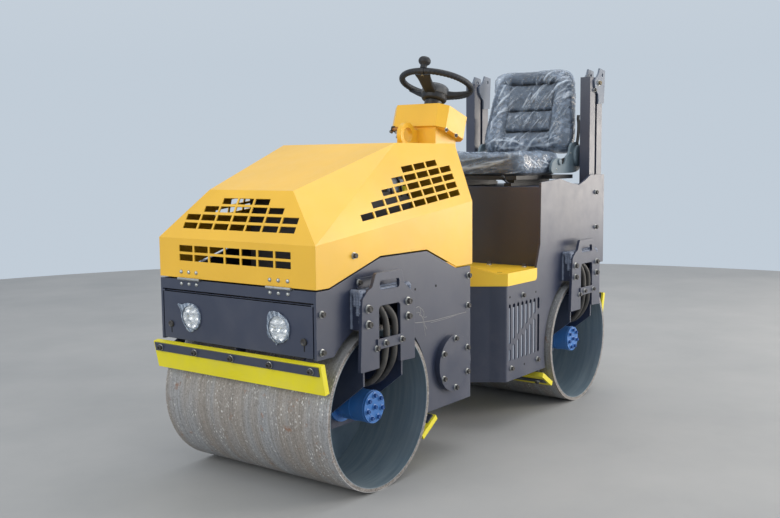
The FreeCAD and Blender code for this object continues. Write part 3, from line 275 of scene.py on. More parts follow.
def film():
    """Clear wrapping: half seen where it lies flat, milky where it is slack, glossy, with a painted highlight on the
    crests of its creases, clear over the channels."""
    look = Finish("clear_film", IOR=1.6, Specular_IOR_Level=0.8)
    fine = look.noise((60, 45, 45), 5, 0.65, 0.6)
    crumple = look.noise((26, 22, 30), 3, 0.5, 1.2)
    # painted highlight: crests turn pale and more opaque, standing in for light caught on them
    crest = look.math("POWER", look.stored("ridge_highlight"), 1.6)
    cloud = look.times_plus(look.stored("slack"), 0.26, look.span(crumple, 0.35, 0.7, 0.20, 0.38))
    cloud = look.times_plus(crest, 0.42, cloud)
    cloud = look.math("SUBTRACT", cloud, look.times(look.stored("seam"), 0.35), clamp=True)
    tone = look.mix(look.span(crumple, 0.4, 0.65), shade(118, 133, 152), shade(160, 177, 200))
    folds = look.math("ADD", look.times(crumple, 1.6), look.times(fine, 0.5))
    return look.set(Base_Color=look.lay(tone, ((206, 217, 231), crest)), Alpha=cloud,
                    Roughness=look.span(fine, 0.3, 0.7, 0.10, 0.22), Normal=look.bump(folds, 0.0012))


def drum_skin():
    """Drum shell, told apart by its distance from the axle: outside, rolled steel in grey and brown bands with
    streaks and pale chips running round it; on its rims, scoured edges; inside, thin blue-grey primer."""
    look = Finish("drum_steel", Metallic=0.2)
    ahead = look.math("SUBTRACT", look.math("ABSOLUTE", look.apart["X"]), AXLES["front"] * MM)
    up = look.math("SUBTRACT", look.apart["Z"], AXLE_UP * MM)
    reach = look.math("SQRT", look.math("ADD", look.times(ahead, ahead), look.times(up, up)))
    outer, inner = DRUM_OUTER * MM, (DRUM_OUTER - DRUM_WALL) * MM
    outside = look.span(reach, outer - 0.003, outer - 0.0012)
    inside = look.span(reach, inner + 0.003, inner + 0.0012)

    bands = look.span(look.noise((1.2, 13, 1.2), 3, 0.5, 0.3), 0.38, 0.62)
    streaks = look.span(look.noise((5, 120, 5), 6, 0.68, 0.2), 0.40, 0.66)
    grit = look.noise(170, 4, 0.7)
    rust = look.span(look.noise(26, 6, 0.72), 0.60, 0.70)
    sparse = look.span(look.noise((9, 34, 9), 5, 0.65), 0.46, 0.60)
    chips = look.times(look.span(look.cells((62, 130, 62)), 0.30, 0.18), sparse)
    scrapes = look.span(look.noise((3, 230, 3), 3, 0.6, 0.1), 0.66, 0.74)
    tone = look.lay(look.mix(bands, shade(162, 165, 169), shade(156, 149, 142)),
                    ((112, 107, 103), streaks, 0.6), ((186, 183, 178), look.span(grit, 0.52, 0.75, 0, 0.45)),
                    ((88, 82, 78), look.span(grit, 0.48, 0.30, 0, 0.65)), ((142, 98, 68), rust, 0.7),
                    ((226, 224, 221), chips, 0.9), ((196, 200, 204), scrapes, 0.4))

    rings = look.noise((4, 60, 4), 5, 0.6)
    primer = look.lay(look.mix(look.span(rings, 0.35, 0.68), shade(114, 132, 144), shade(138, 153, 162)),
                      ((126, 132, 136), look.span(look.noise(7, 5, 0.6), 0.4, 0.72), 0.35),
                      ((168, 176, 182), look.span(look.noise(90, 5, 0.7), 0.66, 0.74), 0.6))
    rim = look.mix(look.span(grit, 0.4, 0.6), shade(104, 100, 98), shade(158, 152, 148))
    height = look.math("ADD", look.times(grit, 0.6), look.times(chips, 0.8))
    height = look.times(height, look.times_plus(outside, 0.85, 0.15))
    return look.set(Base_Color=look.mix(outside, look.mix(inside, rim, primer), tone),
                    Roughness=look.times_plus(outside, 0.24, look.span(rings, 0.3, 0.7, 0.30, 0.42)),
                    Normal=look.bump(height, 0.0007))


def drum_lining():
    """Inside of the drum: thin blue-grey primer over turned steel, with rings and rust near the rim."""
    look = Finish("drum_inner", Metallic=0.35)
    rings = look.noise((5, 170, 5), 6, 0.65)
    tone = look.mix(look.span(rings, 0.35, 0.7), shade(84, 101, 116), shade(116, 132, 144))
    tone = look.lay(tone, ((120, 124, 124), look.span(look.noise(7, 5, 0.6), 0.45, 0.7), 0.35))
    return look.set(Base_Color=tone, Roughness=look.span(rings, 0.3, 0.7, 0.28, 0.5),
                    Normal=look.bump(rings, 0.0002, Normal=look.edge()[0]))


finishes = {name: painted(name, shade(*colour), shade(*worn_and_highlit), **rest)
            for name, (colour, worn_and_highlit, rest) in ENAMELS.items()}
finishes |= {
    "zinc": bare_metal("zinc", shade(190, 192, 190), 0.32),
    "rod_chrome": bare_metal("rod_chrome", shade(225, 226, 228), 0.12),
    # flat black for holes, slots and hollows: painted shade
    "painted_shade_black": Finish("painted_shade_black").set(Base_Color=shade(10, 10, 11), Roughness=0.9),
    "lamp_chrome": Finish("lamp_chrome").set(Base_Color=shade(240, 242, 244), Metallic=1.0, Roughness=0.22),
    "lamp_chip": Finish("lamp_chip").set(Base_Color=shade(236, 226, 180), Roughness=0.3),
    "clear_glass": lens_glass(), "clear_film": film(), "seat_vinyl": vinyl(), "drum_steel": drum_skin(),
    "drum_inner": drum_lining()}
for name, node in frame["nodes"].items():
    for place in node.material_slots:
        # the step takes the brightened copy of the hood's yellow, as painted light
        place.material = finishes["lit_step_yellow" if name == "foot_step" else place.material.name.split(".")[0]]


# ---- shapes

def step(value, low, high):
    """Smooth rise from 0 to 1 between low and high."""
    share = clip((value - low) / (high - low), 0, 1)
    return share * share * (3 - 2 * share)


def squared(value, power):
    """A sine or cosine raised to a power with its sign kept: below 1 it makes a circle squarer."""
    return np.sign(value) * abs(value) ** power


def turns(count):
    """Evenly spaced angles round a circle."""
    return arange(count) * ROUND / count


class Shape:
    """Points and blocks of faces. A block is an array of faces with the same number of corners."""

    def __init__(self, points, *blocks):
        self.points = array(points, float)
        self.blocks = [array(block, int) for block in blocks]

    def __add__(self, other):
        shift = len(self.points)
        return Shape(np.concatenate([self.points, other.points]),
                     *self.blocks, *[block + shift for block in other.blocks])

    def turned(self, points=None):
        """The same faces seen from the other side, on other points if they are given."""
        return Shape(self.points if points is None else points, *[block[:, ::-1] for block in self.blocks])

    def both(self):
        """The form and its twin across the centre line."""
        return self + self.turned(self.points * (1, -1, 1))

    def stood(self, out):
        """A flat form stood up facing the left: its own Y becomes height, its own Z runs outwards from out."""
        return self.turned(self.points[:, (0, 2, 1)] + (0, out, 0))

    def copies(self, spots, way=UP, spin=0.0):
        """A copy at each spot, with local Z turned to way and then spun round it by spin radians."""
        spots = np.atleast_2d(array(spots, float))
        turn = frame_of(way, np.broadcast_to(spin, len(spots)))
        points = np.einsum("kij,nj->kni", turn, self.points) + spots[:, None]
        first = arange(len(spots))[:, None, None] * len(self.points)
        return Shape(points.reshape(-1, 3), *[(block + first).reshape(-1, block.shape[1]) for block in self.blocks])


def joined(shapes):
    first, *others = shapes
    return sum(others, first)


def unit(way):
    """The way, or each row of ways, made one long."""
    return way / norm(way, axis=-1, keepdims=True)


def frame_of(way, spin):
    """One turning matrix for each spin: third axis along way, the others level where they can be."""
    axis = unit(way)
    level = unit(np.cross(UP, axis)) if abs(axis[2]) < 0.99 else array([1.0, 0, 0])
    third = np.cross(axis, level)
    spin = spin[:, None]
    return stack([cos(spin) * level + sin(spin) * third, cos(spin) * third - sin(spin) * level, axis + 0 * spin], 2)


def quads(rows, columns, ring=False):
    """Faces of a grid of points stored row by row; each row closes on itself, and in a ring the last row is
    joined to the first."""
    row, column = np.meshgrid(arange(rows - (not ring)), arange(columns), indexing="ij")
    below, beside = (row + 1) % rows, (column + 1) % columns
    return stack([row * columns + column, row * columns + beside,
                  below * columns + beside, below * columns + column], -1).reshape(-1, 4)


def skin(grid):
    """The surface over rows of points, with a flat face over its first and over its last row."""
    rows, columns, _ = grid.shape
    rim = arange(columns)[None]
    return Shape(grid.reshape(-1, 3), quads(rows, columns), rim[:, ::-1], (rows - 1) * columns + rim)


def stacked(rings):
    """The skin over flat rings, each at its own level."""
    return skin(stack([np.insert(ring, 2, level, axis=1) for ring, level in rings]))


def lathe(profile, sides=24):
    """Turned form: each (radius, height) of the profile goes once round local Z. The profile runs from the
    foot outwards, up and back in, and both ends are closed by a flat face; a ring closes on itself."""
    profile = array(profile, float)
    turn = turns(sides)
    radius, height = profile[:, :1], profile[:, 1:]
    grid = stack([radius * cos(turn), radius * sin(turn), height + 0 * turn], -1)
    if np.allclose(profile[0], profile[-1]):
        return Shape(grid[:-1].reshape(-1, 3), quads(len(profile) - 1, sides, ring=True))
    return skin(grid)


def prism(outline, low, high, ease=0.0):
    """A flat outline, anticlockwise from above, carried from low to high; its upper rim is drawn in by ease
    towards the outline's middle."""
    outline = array(outline, float)
    centre = outline.mean(0)
    reach = norm(outline - centre, axis=1, keepdims=True)
    inner = centre + (outline - centre) * (1 - ease / reach)
    rings = [(outline, low), (outline, high - ease), (inner, high)] if ease else [(outline, low), (outline, high)]
    return stacked(rings)


def oblong(long, wide, tall, ease=0.0):
    """A prism over an oblong centred on its axis."""
    x, y = long / 2, wide / 2
    return prism([(-x, -y), (x, -y), (x, y), (-x, y)], 0, tall, ease)


def tube(path, radius, sides=12, lean=UP, flat=1.0):
    """A round or oval section carried along a path of points: at each point it is square to the path, its
    first axis square to lean, and its second axis is flat times as long. The ends are closed."""
    along = unit(np.gradient(path, axis=0))
    side = unit(np.cross(lean, along))
    rise = flat * np.cross(along, side)
    turn = turns(sides)[:, None]
    reach = np.broadcast_to(radius, len(path))[:, None, None]
    return skin(path[:, None] + reach * (cos(turn) * side[:, None] + sin(turn) * rise[:, None]))


def curve(corners, count=60, degree=2):
    """Points on the clamped uniform B-spline of the corners: it starts at the first and ends at the last,
    and each basis function is blended from the two below it, level by level."""
    corners = array(corners, float)
    last = len(corners) - degree
    knots = np.concatenate([np.zeros(degree + 1), arange(1, last), np.full(degree + 1, last)])
    where = linspace(0, last - 1e-9, count)[:, None]
    weight = ((knots[:-1] <= where) & (where < knots[1:])).astype(float)
    for level in range(1, degree + 1):
        left, right = knots[level:-1] - knots[:-level - 1], knots[level + 1:] - knots[1:-level]
        rise = (where - knots[:-level - 1]) / np.where(left > 0, left, np.inf)
        fall = (knots[level + 1:] - where) / np.where(right > 0, right, np.inf)
        weight = rise * weight[:, :-1] + fall * weight[:, 1:]
    return weight @ corners


# ---- from shapes to pieces

def link(name, data):
    thing = bpy.data.objects.new(name, data)
    scene.collection.objects.link(thing)
    return thing


def raw(name, shape):
    """The shape as a mesh object."""
    mesh = bpy.data.meshes.new(name)
    mesh.from_pydata((shape.points * MM).tolist(), [], [face for block in shape.blocks for face in block.tolist()])
    return link(name, mesh)


def dress(piece, finish, body, slot=None, replaces=()):
    """Gives the piece its finish and lets it ride on its body."""
    piece.data.materials.clear()
    piece.data.materials.append(finishes[finish])
    piece.data.shade_smooth()
    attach(piece, body)
    if replaces:
        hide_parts(*replaces)


def build(name, shape, finish, body, sharp=38, **rest):
    """Makes a hard piece, with its edges over sharp degrees kept crisp."""
    piece = raw(name, shape)
    dress(piece, finish, body, **rest)
    piece.data.set_sharp_from_angle(angle=radians(sharp))
    return piece


def fit(name, form, spots, way, finish, body, spin=0.0, **rest):
    """The form at each spot and at its twin on the other side."""
    return build(name, form.copies(spots, way, spin).both(), finish, body, **rest)


def mark(mesh, name, values):
    """Stores one number from 0 to 1 at each point, for the finish to read."""
    store = mesh.attributes.new(name, "FLOAT", "POINT")
    store.data.foreach_set("value", clip(values, 0, 1).astype(np.float32))


def beside(out, *spots):
    """Places given as ahead and up, on the plane at out from the centre line."""
    return array([(x, out, z) for x, z in spots])


def circle(centre, radius, count, start=0.0):
    """Places on a circle that faces the left."""
    turn = turns(count) + start
    return centre + radius * column_stack([cos(turn), 0 * turn, sin(turn)])


# ---- fasteners

def hex_head(across, tall):
    """Six-sided head with a turned-down rim and a shallow dish in its top."""
    corners = column_stack([cos(turns(6)), sin(turns(6))]) * across / sqrt(3)
    levels = ((1.0, 0.0), (1.0, 0.82), (0.86, 1.0), (0.62, 1.0), (0.56, 0.86))
    return stacked([(corners * share, tall * level) for share, level in levels])


def socket_head(across, tall):
    """Round cap screw with its socket drawn as a dish."""
    radius = across / 2
    return lathe([(radius, 0), (radius, 0.8 * tall), (0.88 * radius, tall), (0.5 * radius, tall),
                  (0.46 * radius, 0.5 * tall)], 18)


WASHER, SPRING_RING = 2.2, 2.6  # thicknesses
HEAD_TURN = 1.9  # radians from one bolt's head to the next, so that no two stand alike


def washer(radius):
    return lathe([(radius, 0), (radius, 0.75 * WASHER), (radius - 0.6, WASHER), (0.4 * radius, WASHER)], 24)


def dome_head(radius, tall):
    """Quarter circle turned round its axis, flattened to its height."""
    turn = linspace(0, pi / 2 * 0.97, 6)
    return lathe(column_stack([radius * cos(turn), tall * sin(turn)]), 20)


def bolts(name, body, spots, across, way=LEFT, mirror=True, spring=True, finish="bolt_dark"):
    """Hex heads on zinc washers at each spot, and their twins on the other side."""
    lift = unit(way)
    spots = array(spots, float)
    plate = washer(across * 0.72).copies(spots, way)
    if spring:
        ring = lathe([(across * 0.6, 0), (across * 0.6, SPRING_RING), (across * 0.3, SPRING_RING)], 20)
        plate = plate + ring.copies(spots + lift * WASHER, way)
    stand = WASHER + SPRING_RING * spring
    heads = hex_head(across, across * 0.5).copies(spots + lift * stand, way, arange(len(spots)) * HEAD_TURN)
    if mirror:
        plate, heads = plate.both(), heads.both()
    build(name + "_washers", plate, "zinc", body)
    build(name + "_heads", heads, finish, body)


# ---- brackets, motors and hoses

def bracket_bolts(name, axle, body):
    main = beside(BRACKET_Y, *((axle + x, z) for x in (-109, 109) for z in (582, 633)))
    bolts(f"{name}_bracket_bolts", body, main, 19.5)
    bolts(f"{name}_strap_bolts", body, beside(STRAP_Y, (axle + 26, 511), (axle - 64, 510)), 15)
    bolts(f"{name}_leg_bolt", body, beside(BRACKET_Y, (axle + 66, 498)), 15)


def motor_bolts(name, axle, body):
    """Seven cap bolts round the motor's end and one at its centre, in the motor's blue darkened as painted shade."""
    centre, reach = (axle, MOTOR_Y, AXLE_UP), 40
    spots = np.vstack([circle(centre, reach, 7, pi / 2), centre])
    boss = lathe([(11, 0), (11, 1.2), (9.5, 2)], 20)
    groove = lathe([(56.5, 0), (56.5, 4), (50, 4), (50, 0), (56.5, 0)], 48)
    rings = groove.copies([(axle, MOTOR_Y - back, AXLE_UP) for back in (12, 70)], LEFT)
    fit(f"{name}_motor_bolts", hex_head(12.5, 9), spots + (0, 2, 0), LEFT, "bolt_blue", body, spin=arange(8) * 0.7)
    build(f"{name}_motor_rings", (boss.copies(spots, LEFT) + rings).both(), "motor_blue", body)


# corners of the two hoses on each side: from the axle, from the centre line, above the ground
HOSE_ROUTES = (
    ((36, 372, 684), (28, 384, 640), (-1, 396, 592), (-7, 399, 540), (0, 399, 485),
     (3, 390, 425), (10, 348, 366), (22, 290, 352), (22, 240, 352)),
    ((10, 366, 684), (4, 380, 642), (-38, 396, 604), (-54, 399, 566), (-48, 399, 505),
     (-47, 397, 440), (-36, 352, 368), (-22, 290, 350), (-22, 240, 350)))


def hoses(name, axle, body):
    """Rubber hoses swept along their routes, with crimped sleeves and hexagons where they enter the motor."""
    paths = [curve(array(route) + (axle, 0, 0), 90) for route in HOSE_ROUTES]
    ribs = 11.2 + 0.15 * cos(arange(90) * pi)
    rubber = joined([tube(path, ribs, 20, lean=(1, 0, 0.2)) for path in paths])
    sleeve = lathe([(12.5, 0), (13.5, 3), (13.5, 26), (12, 29)], 20)
    nut = hex_head(26, 14)
    metal = joined([sleeve.copies([path[-1] + (0, 4, 0)], LEFT) + nut.copies([path[-1] - (0, 10, 0)], LEFT)
                    for path in paths])
    build(f"{name}_hose_pair", rubber.both(), "hose_rubber", body, replaces=[f"{name}_hoses"])
    build(f"{name}_hose_fittings", metal.both(), "zinc", body)


def weld(start, end, radius, pitch=5.5, lean=AHEAD):
    """A bead: a round section along a line whose radius rises and falls once each pitch, as laid ripples do."""
    start, end = array(start), array(end)
    length = norm(end - start)
    share = linspace(0, 1, max(8, int(length / pitch * 5)))
    ripple = 0.82 + 0.18 * abs(sin(share * length / pitch * pi)) + 0.12 * sin(share * length * 0.21)
    return tube(start + share[:, None] * (end - start), radius * ripple, 8, lean)


def bracket_welds(name, axle, body):
    """Beads where the bracket's box meets the side plate and its own walls, laid twice along the head."""
    out, back = PLATE_Y + 1, BRACKET_Y - 13
    wall, foot, head = 132, 566, 687
    beads = [weld((axle + x, out, foot), (axle + x, out, head), 5.5) for x in (wall, -wall)]
    for side in (-1, 1):
        edge = axle + side * (wall + 1)
        beads.append(weld((edge, out, head), (edge, back, head), 8.5, 9))
        beads += [weld((edge, back - inset, head + 2), (edge, back - inset + 2, head - length), 7.5, 9)
                  for inset, length in ((0, 100), (11, 75), (22, 45))]
        edge -= side * 10
        beads.append(weld((edge, out, head + 1), (edge, back, head + 1), 6.5, 8))
    beads += [weld((axle - wall, y, head), (axle + wall, y, head), radius, pitch, UP)
              for y, radius, pitch in ((out, 6, 5.5), (back, 6.5, 8))]
    build(f"{name}_bracket_welds", joined(beads).both(), "weld_bead", body)


# ---- front of the machine

LAMP_RADIUS = 45.5
# middle and radius of each of the reflector's round bowls
LAMP_CELLS = array([(0, 0, 15.5), *((29 * cos(a), 29 * sin(a), 15.5) for a in turns(6))])


def lamp_face(radius, depth):
    """Reflector: a disc in polar steps whose height is the lowest of round bowls sunk at the cells' centres."""
    reach, turn = np.meshgrid(linspace(0.02, 1, 30) * radius, turns(84), indexing="ij")
    x, y = reach * cos(turn), reach * sin(turn)
    away = sqrt((x[..., None] - LAMP_CELLS[:, 0]) ** 2 + (y[..., None] - LAMP_CELLS[:, 1]) ** 2) / LAMP_CELLS[:, 2]
    sink = np.minimum(0, (away ** 2 - 1) * depth).min(-1)
    return Shape(stack([x, y, sink], -1).reshape(-1, 3), quads(30, 84)[:, ::-1], arange(84)[None])


def headlamps():
    """Bowl, multi-cell reflector, light chips and a clear domed lens on each side."""
    radius, spot = LAMP_RADIUS, (NOSE_X, LAMP_Y, LAMP_Z)
    shell = lathe([(30, -52), (40, -50), (radius + 1, -20), (radius + 1, 3),
                   (radius - 1, 6), (radius - 4, 6), (radius - 4, -12), (10, -14)], 48)
    fit("headlamp_bowls", shell, spot, AHEAD, "ear_grey", "lamp_panel", slot="black_plastic", replaces=["headlamps"])
    fit("headlamp_reflectors", lamp_face(radius - 4.2, 7), array(spot) + (1.5, 0, 0), AHEAD, "lamp_chrome",
        "lamp_panel", sharp=60)
    chips = column_stack([np.full(7, NOSE_X - 8), LAMP_CELLS[:, :2] + (LAMP_Y, LAMP_Z)])
    fit("headlamp_chips", dome_head(4.2, 4), chips, AHEAD, "lamp_chip", "lamp_panel")
    flat = [(out, 3) for out in linspace(2, radius - 4.5, 5)]
    dome = [((radius - 4.2) * cos(a), 3.2 + 7.5 * sin(a)) for a in linspace(0, 1.53, 9)]
    fit("headlamp_lenses", lathe(flat + dome, 48), spot, AHEAD, "clear_glass", "lamp_panel")


# outline of the wrapping round each lamp: degrees and radius in millimetres
SCRAPS = {
    -LAMP_Y: ((0, 47), (90, 47), (116, 51), (139, 60), (149, 83), (158, 56), (175, 48), (225, 48), (265, 53),
              (290, 47)),
    LAMP_Y: ((0, 48), (60, 47), (76, 49.5), (104, 56), (125, 64.6), (160, 52), (190, 51), (209, 53.7), (226, 49.5),
             (252, 50), (259, 58), (268, 47), (315, 47), (325, 54), (335, 47))}


def lamp_films():
    """Scraps of clear wrapping left round the lamps: a band from the lens's rim out to a ragged outline. Its
    height is a slow wave round the lamp and a shorter one across the band, and it sinks outwards."""
    sheets, turn, inner = [], turns(120), 40
    share = np.concatenate([linspace(0, 1, 6), linspace(1, 0, 6)])[:, None]
    back = np.repeat([0, 0.5], 6)[:, None]
    for left, corners in SCRAPS.items():
        angles, reaches = array(corners).T
        reach = inner + (np.interp(np.degrees(turn), angles, reaches, period=360) - inner) * share
        wave = 1.6 * sin(5 * turn + left * 0.009) * share + 0.7 * sin(17 * turn + 5 * share)
        grid = stack([NOSE_X + 9.5 - 4 * share + wave - back, left + reach * cos(turn), LAMP_Z + reach * sin(turn)], -1)
        sheets.append(Shape(grid.reshape(-1, 3), quads(12, 120, ring=True)))
    films = joined(sheets)
    piece = build("headlamp_films", films, "clear_film", "lamp_panel", slot="lamp_glass", sharp=180)
    _, y, z = films.points.T
    mark(piece.data, "slack", np.full(len(y), 0.25))
    # painted highlight bands on the scraps, read by the film's crest highlight
    mark(piece.data, "ridge_highlight", 0.35 + 0.45 * sin(y * 0.31 + z * 0.19))


def locks():
    """Two round black latches with their keyholes below, drawn as thin black slots of painted shade."""
    knob = lathe([(10.5, 0), (11.5, 1), (11.5, 6), (9.5, 8), (7.5, 6.5), (1, 6.2)], 24)
    fit("latches", knob, (NOSE_X, 309, 545.5), AHEAD, "bolt_dark", "lamp_panel")
    fit("latch_slots", oblong(5, 18, 0.6), (NOSE_X, 309, 523), AHEAD, "painted_shade_black", "lamp_panel")


def hinge_rivets():
    """Three domed bolts over each hinge, on the hood, and three under it, on the front strip."""
    for name, body, up, out in (("hood", "hood", 731.5, 0.5), ("frame", "front_frame", 690.5, 0)):
        spots = [(NOSE_X + out, y, up) for y in (167, LAMP_Y, 244, -176, -213, -251)]
        build(f"hinge_bolts_{name}", dome_head(7.2, 5.5).copies(spots, AHEAD), "zinc", body)


# drum, its hand, the blade's foot from the axle and above the ground, half of the bolts' spread
HIGH_BLADES = (("front", 1, 279, 388, 350), ("rear", -1, 279, 367, 330))
HIGH_LEAN, LOW_LEAN = radians(12), radians(58)  # from upright
LOW_BLADE = (245, 128)


def blade(drum, hand, foot, lean, along, off, spread):
    """Five places across a blade and the way out of it: along is measured up the blade from its foot, and off
    square to it, away from the drum."""
    up, out = array((hand * sin(lean), 0, cos(lean))), array((hand * cos(lean), 0, -sin(lean)))
    spot = array((AXLES[drum] + hand * foot[0], 0, foot[1])) + up * along + out * off
    return spot + linspace(-spread, spread, 5)[:, None] * LEFT, out


def scraper_bolts():
    """Black cap screws through the clamp strips, square to each blade."""
    for name, hand, out, up, spread in HIGH_BLADES:
        body = f"{name}_frame"
        spots, normal = blade(name, hand, (out, up), HIGH_LEAN, 79, 25, spread)
        build(f"{name}_scraper_washers", washer(11.5).copies(spots, normal), "zinc", body)
        build(f"{name}_scraper_bolts", socket_head(19.5, 9).copies(spots + normal * 2, normal), "bolt_dark", body)
        for side, along, off, facing in (("inner", 78, -5, -1), ("outer", 53, 25, 1)):
            spots, normal = blade(name, -hand, LOW_BLADE, LOW_LEAN, along, off, 330)
            bolts(f"{name}_low_scraper_{side}_bolts", body, spots, 15, facing * normal, mirror=False)


# ---- side plates

def side_fasteners():
    """Bolts of both side plates, left and right, of the posts and of the console, and small open holes drawn as thin
    black discs of painted shade.
    """
    cover, reach = middle("side_covers"), 92.5
    ring = circle((cover[0], box("side_covers")[1, 1], cover[2]), reach, 6, pi / 6)
    bolts("cover_bolts", "front_frame", ring, 16)
    bolts("front_plate_bolts", "front_frame",
          beside(PLATE_Y, (1029, 633), (1029, 513), (175.5, 669), (180.5, 555)), 16.5)
    bolts("rear_plate_bolts", "rear_frame",
          beside(PLATE_Y, (-254.8, 542.7), (-160.3, 248), (-386.3, 247.5), (-960, 950), (-963, 786)), 16.5)
    hole = lathe([(4.8, 0), (4.8, 0.4), (1, 0.4)], 20)
    for body, spots in (("front_frame", beside(PLATE_Y, (525.9, 655), (395.1, 653.5))),
                        ("rear_frame", beside(PLATE_Y, (-146.6, 546), (-369.7, 543), (-271.6, 246.6)))):
        fit(f"{body}_holes", hole, spots, LEFT, "painted_shade_black", body)
    fit("front_tabs", oblong(96, 33, 6, 1), beside(PLATE_Y, (AXLES["front"] + 59, 711.5)), LEFT,
        "frame_blue", "front_frame")
    bolts("tab_bolts", "front_frame", beside(PLATE_Y + 6, (850.6, 713.5)), 16)
    bolts("hood_bolts", "hood", beside(PLATE_Y + 1, (868.5, 802.7)), 16)
    bolts("step_bolts", "rear_frame", [(-372, left, STEP_TOP) for left in (128, 302)], 16.5, UP)
    # slots in the step drawn as thin black sheets of painted shade
    fit("step_slots", oblong(20, 8, 0.4), (-142.6, 314, STEP_TOP), UP, "painted_shade_black", "rear_frame", spin=2.3)
    bolts("ear_bolts", "rear_frame", beside(EAR_Y, (POST_X - 72, POST_TOP - 25)), 19, finish="brass")
    bolts("post_bolts", "rear_frame", beside(EAR_Y - 8, (POST_X - 43.5, POST_TOP - 59)), 14)
    bolts("console_bolts", "rear_frame", beside(136.2, (-15, 1228), (-87, 1206.5)), 12.5, spring=False)


def console_edging():
    """Rubber edging laid over the console's slanting front edge."""
    tilt = radians(18)
    corners = [(1, -95), (1, -110), (-33, -136.5), (-60, -136.5), (-171, -136.5)]
    path = [(17.5 + ahead * cos(tilt), left, 1245 + ahead * sin(tilt)) for ahead, left in corners]
    edging = tube(curve(path, 40, 1), 3.5, 10, lean=(-sin(tilt), 0, cos(tilt)))
    build("console_edging", edging, "black_plastic", "rear_frame")


def nose_folds():
    """Rounded bend where each side plate turns in towards the nose. It stands out from the slanting side most
    at the bend and falls off to nothing in a smooth step."""
    proud, reach = 8.5, 75
    low, high = box("rear_side_plates")
    away = linspace(4, 76, 12)[:, None]
    slant = away * (0.6, -0.8) + proud * (1 - step(away, 4, reach)) * (0.8, 0.6) - (0, 12)
    bend = [(-16, -10), (-16, 0.1), (-4, 0.3), (1.2, -0.2), (4, -2.2), (6.8, -5.6)]
    inner = [(34, 296 - PLATE_Y), (-6, 345 - PLATE_Y)]
    outline = np.vstack([bend, slant, inner]) + (high[0], PLATE_Y)
    bend = prism(outline[::-1], low[2], box("foot_step")[0, 2] + 30)
    build("nose_folds", bend.both(), "frame_blue", "rear_frame", sharp=50)


# width of each scratch, and its corners: ahead and up
SCRATCHES = (
    (1, ((528, 536), (447, 528), (323, 529), (191, 530))),
    (0.7, ((430, 523), (330, 522), (260, 527))),
    (1, ((521, 588), (500, 596), (491, 566), (505, 560), (478, 552), (470, 520), (454, 503))),
    (0.9, ((503, 590), (466, 570), (480, 545), (455, 548))),
    (0.7, ((522, 570), (500, 575), (478, 539), (468, 500), (462, 480))))


def plate_scratches():
    """Fine pale scratches on the left front plate: a long one with a scribble at its end."""
    marks = [tube(curve(beside(PLATE_Y + 0.1, *corners), 40), width, 6, lean=LEFT, flat=0.3)
             for width, corners in SCRATCHES]
    build("plate_scratches", joined(marks), "scratch_grey", "front_frame")


def engine_dressing():
    """What shows of the engine through the hood's slots: an air filter, a cover, a filler cap and leads; filter and
    cover are painted pale to stand in for light coming in through the grille.
    """
    top = box("engine_block")[1, 2]
    can = lathe([(45, 0), (52, 4), (52, 100), (47, 108), (20, 112), (1, 112)], 36)
    cap = lathe([(20, -12), (23, -10), (23, 12), (19, 16), (1, 16)], 24)
    for name, form, spot, finish in (
            ("filter", can, (300, 75, top - 6), "lit_tank_grey"),
            ("rocker_cover", oblong(110, 60, 48, 6), (412, 168, top - 4), "lit_tank_grey"),
            ("filler_cap", cap, (372, 196, top + 2), "scraper_yellow")):
        build(f"engine_{name}", form.copies(spot), finish, "front_frame")
    routes = [[(start, 207, top - 20), (start + 10, 210, top + 30 + rise),
               (start + 70, 150, top + 40 + rise), (start + 100, 100, top + 10)]
              for start, rise in ((350, 0), (390, 30), (450, 15))]
    build("engine_leads", joined([tube(curve(route, 30), 4.5, 10, lean=(0, 1, 0.1)) for route in routes]),
          "hose_rubber", "front_frame")


def tank_wall():
    """Flat tank side seen through all but the rearmost of the louvres, painted pale to stand in for light coming
    through them.
    """
    wall = prism([(-387, 262), (-146, 262), (-146, 500), (-387, 500)], 0, 1.5)
    behind_plate = 5.5
    build("tank_sides", wall.stood(PLATE_Y - behind_plate).both(), "lit_tank_grey", "rear_frame")


# ---- steering wheel

TURNING = next(joint for joint in frame["joints"] if joint["name"] == "steering_wheel_turn")
RIM, GRIP, BUMPS = 147, 13, 58  # ring's radius to its middle, its section's, and the bumps under it
KNOB_AT = radians(10)


def grip_ring():
    """A section swept round the wheel's axis, drawn in 1.3 mm between finger bumps that fade out over its top."""
    turn, round_it = np.meshgrid(turns(464), turns(20), indexing="ij")
    under = clip(0.25 - sin(round_it), 0, 1)
    reach = GRIP - 1.3 * under * (0.5 + 0.5 * cos(BUMPS * turn))
    out = RIM + reach * cos(round_it)
    grid = stack([out * cos(turn), out * sin(turn), reach * sin(round_it)], -1)
    return Shape(grid.reshape(-1, 3), quads(464, 20, ring=True)[:, ::-1])


def spoke():
    """An oblong section with rounded sides carried outwards; its half width, foot and head are each a curve of
    the distance from the axis."""
    line = curve([(40, 27, -60, -26), (58, 26.2, -53, -25), (78, 25.8, -48, -23),
                  (100, 26.2, -40, -18), (120, 28, -31, -12.5), (134, 31.5, -24, -10),
                  (147, 36, -18, -8)], 28)
    out, half, low, high = line.T[:, :, None]
    across = half * squared(cos(turns(36)), 0.38)
    up = (low + high) / 2 + (high - low) / 2 * squared(sin(turns(36)), 0.55)
    return skin(stack([out + 0 * across, across, up], -1))


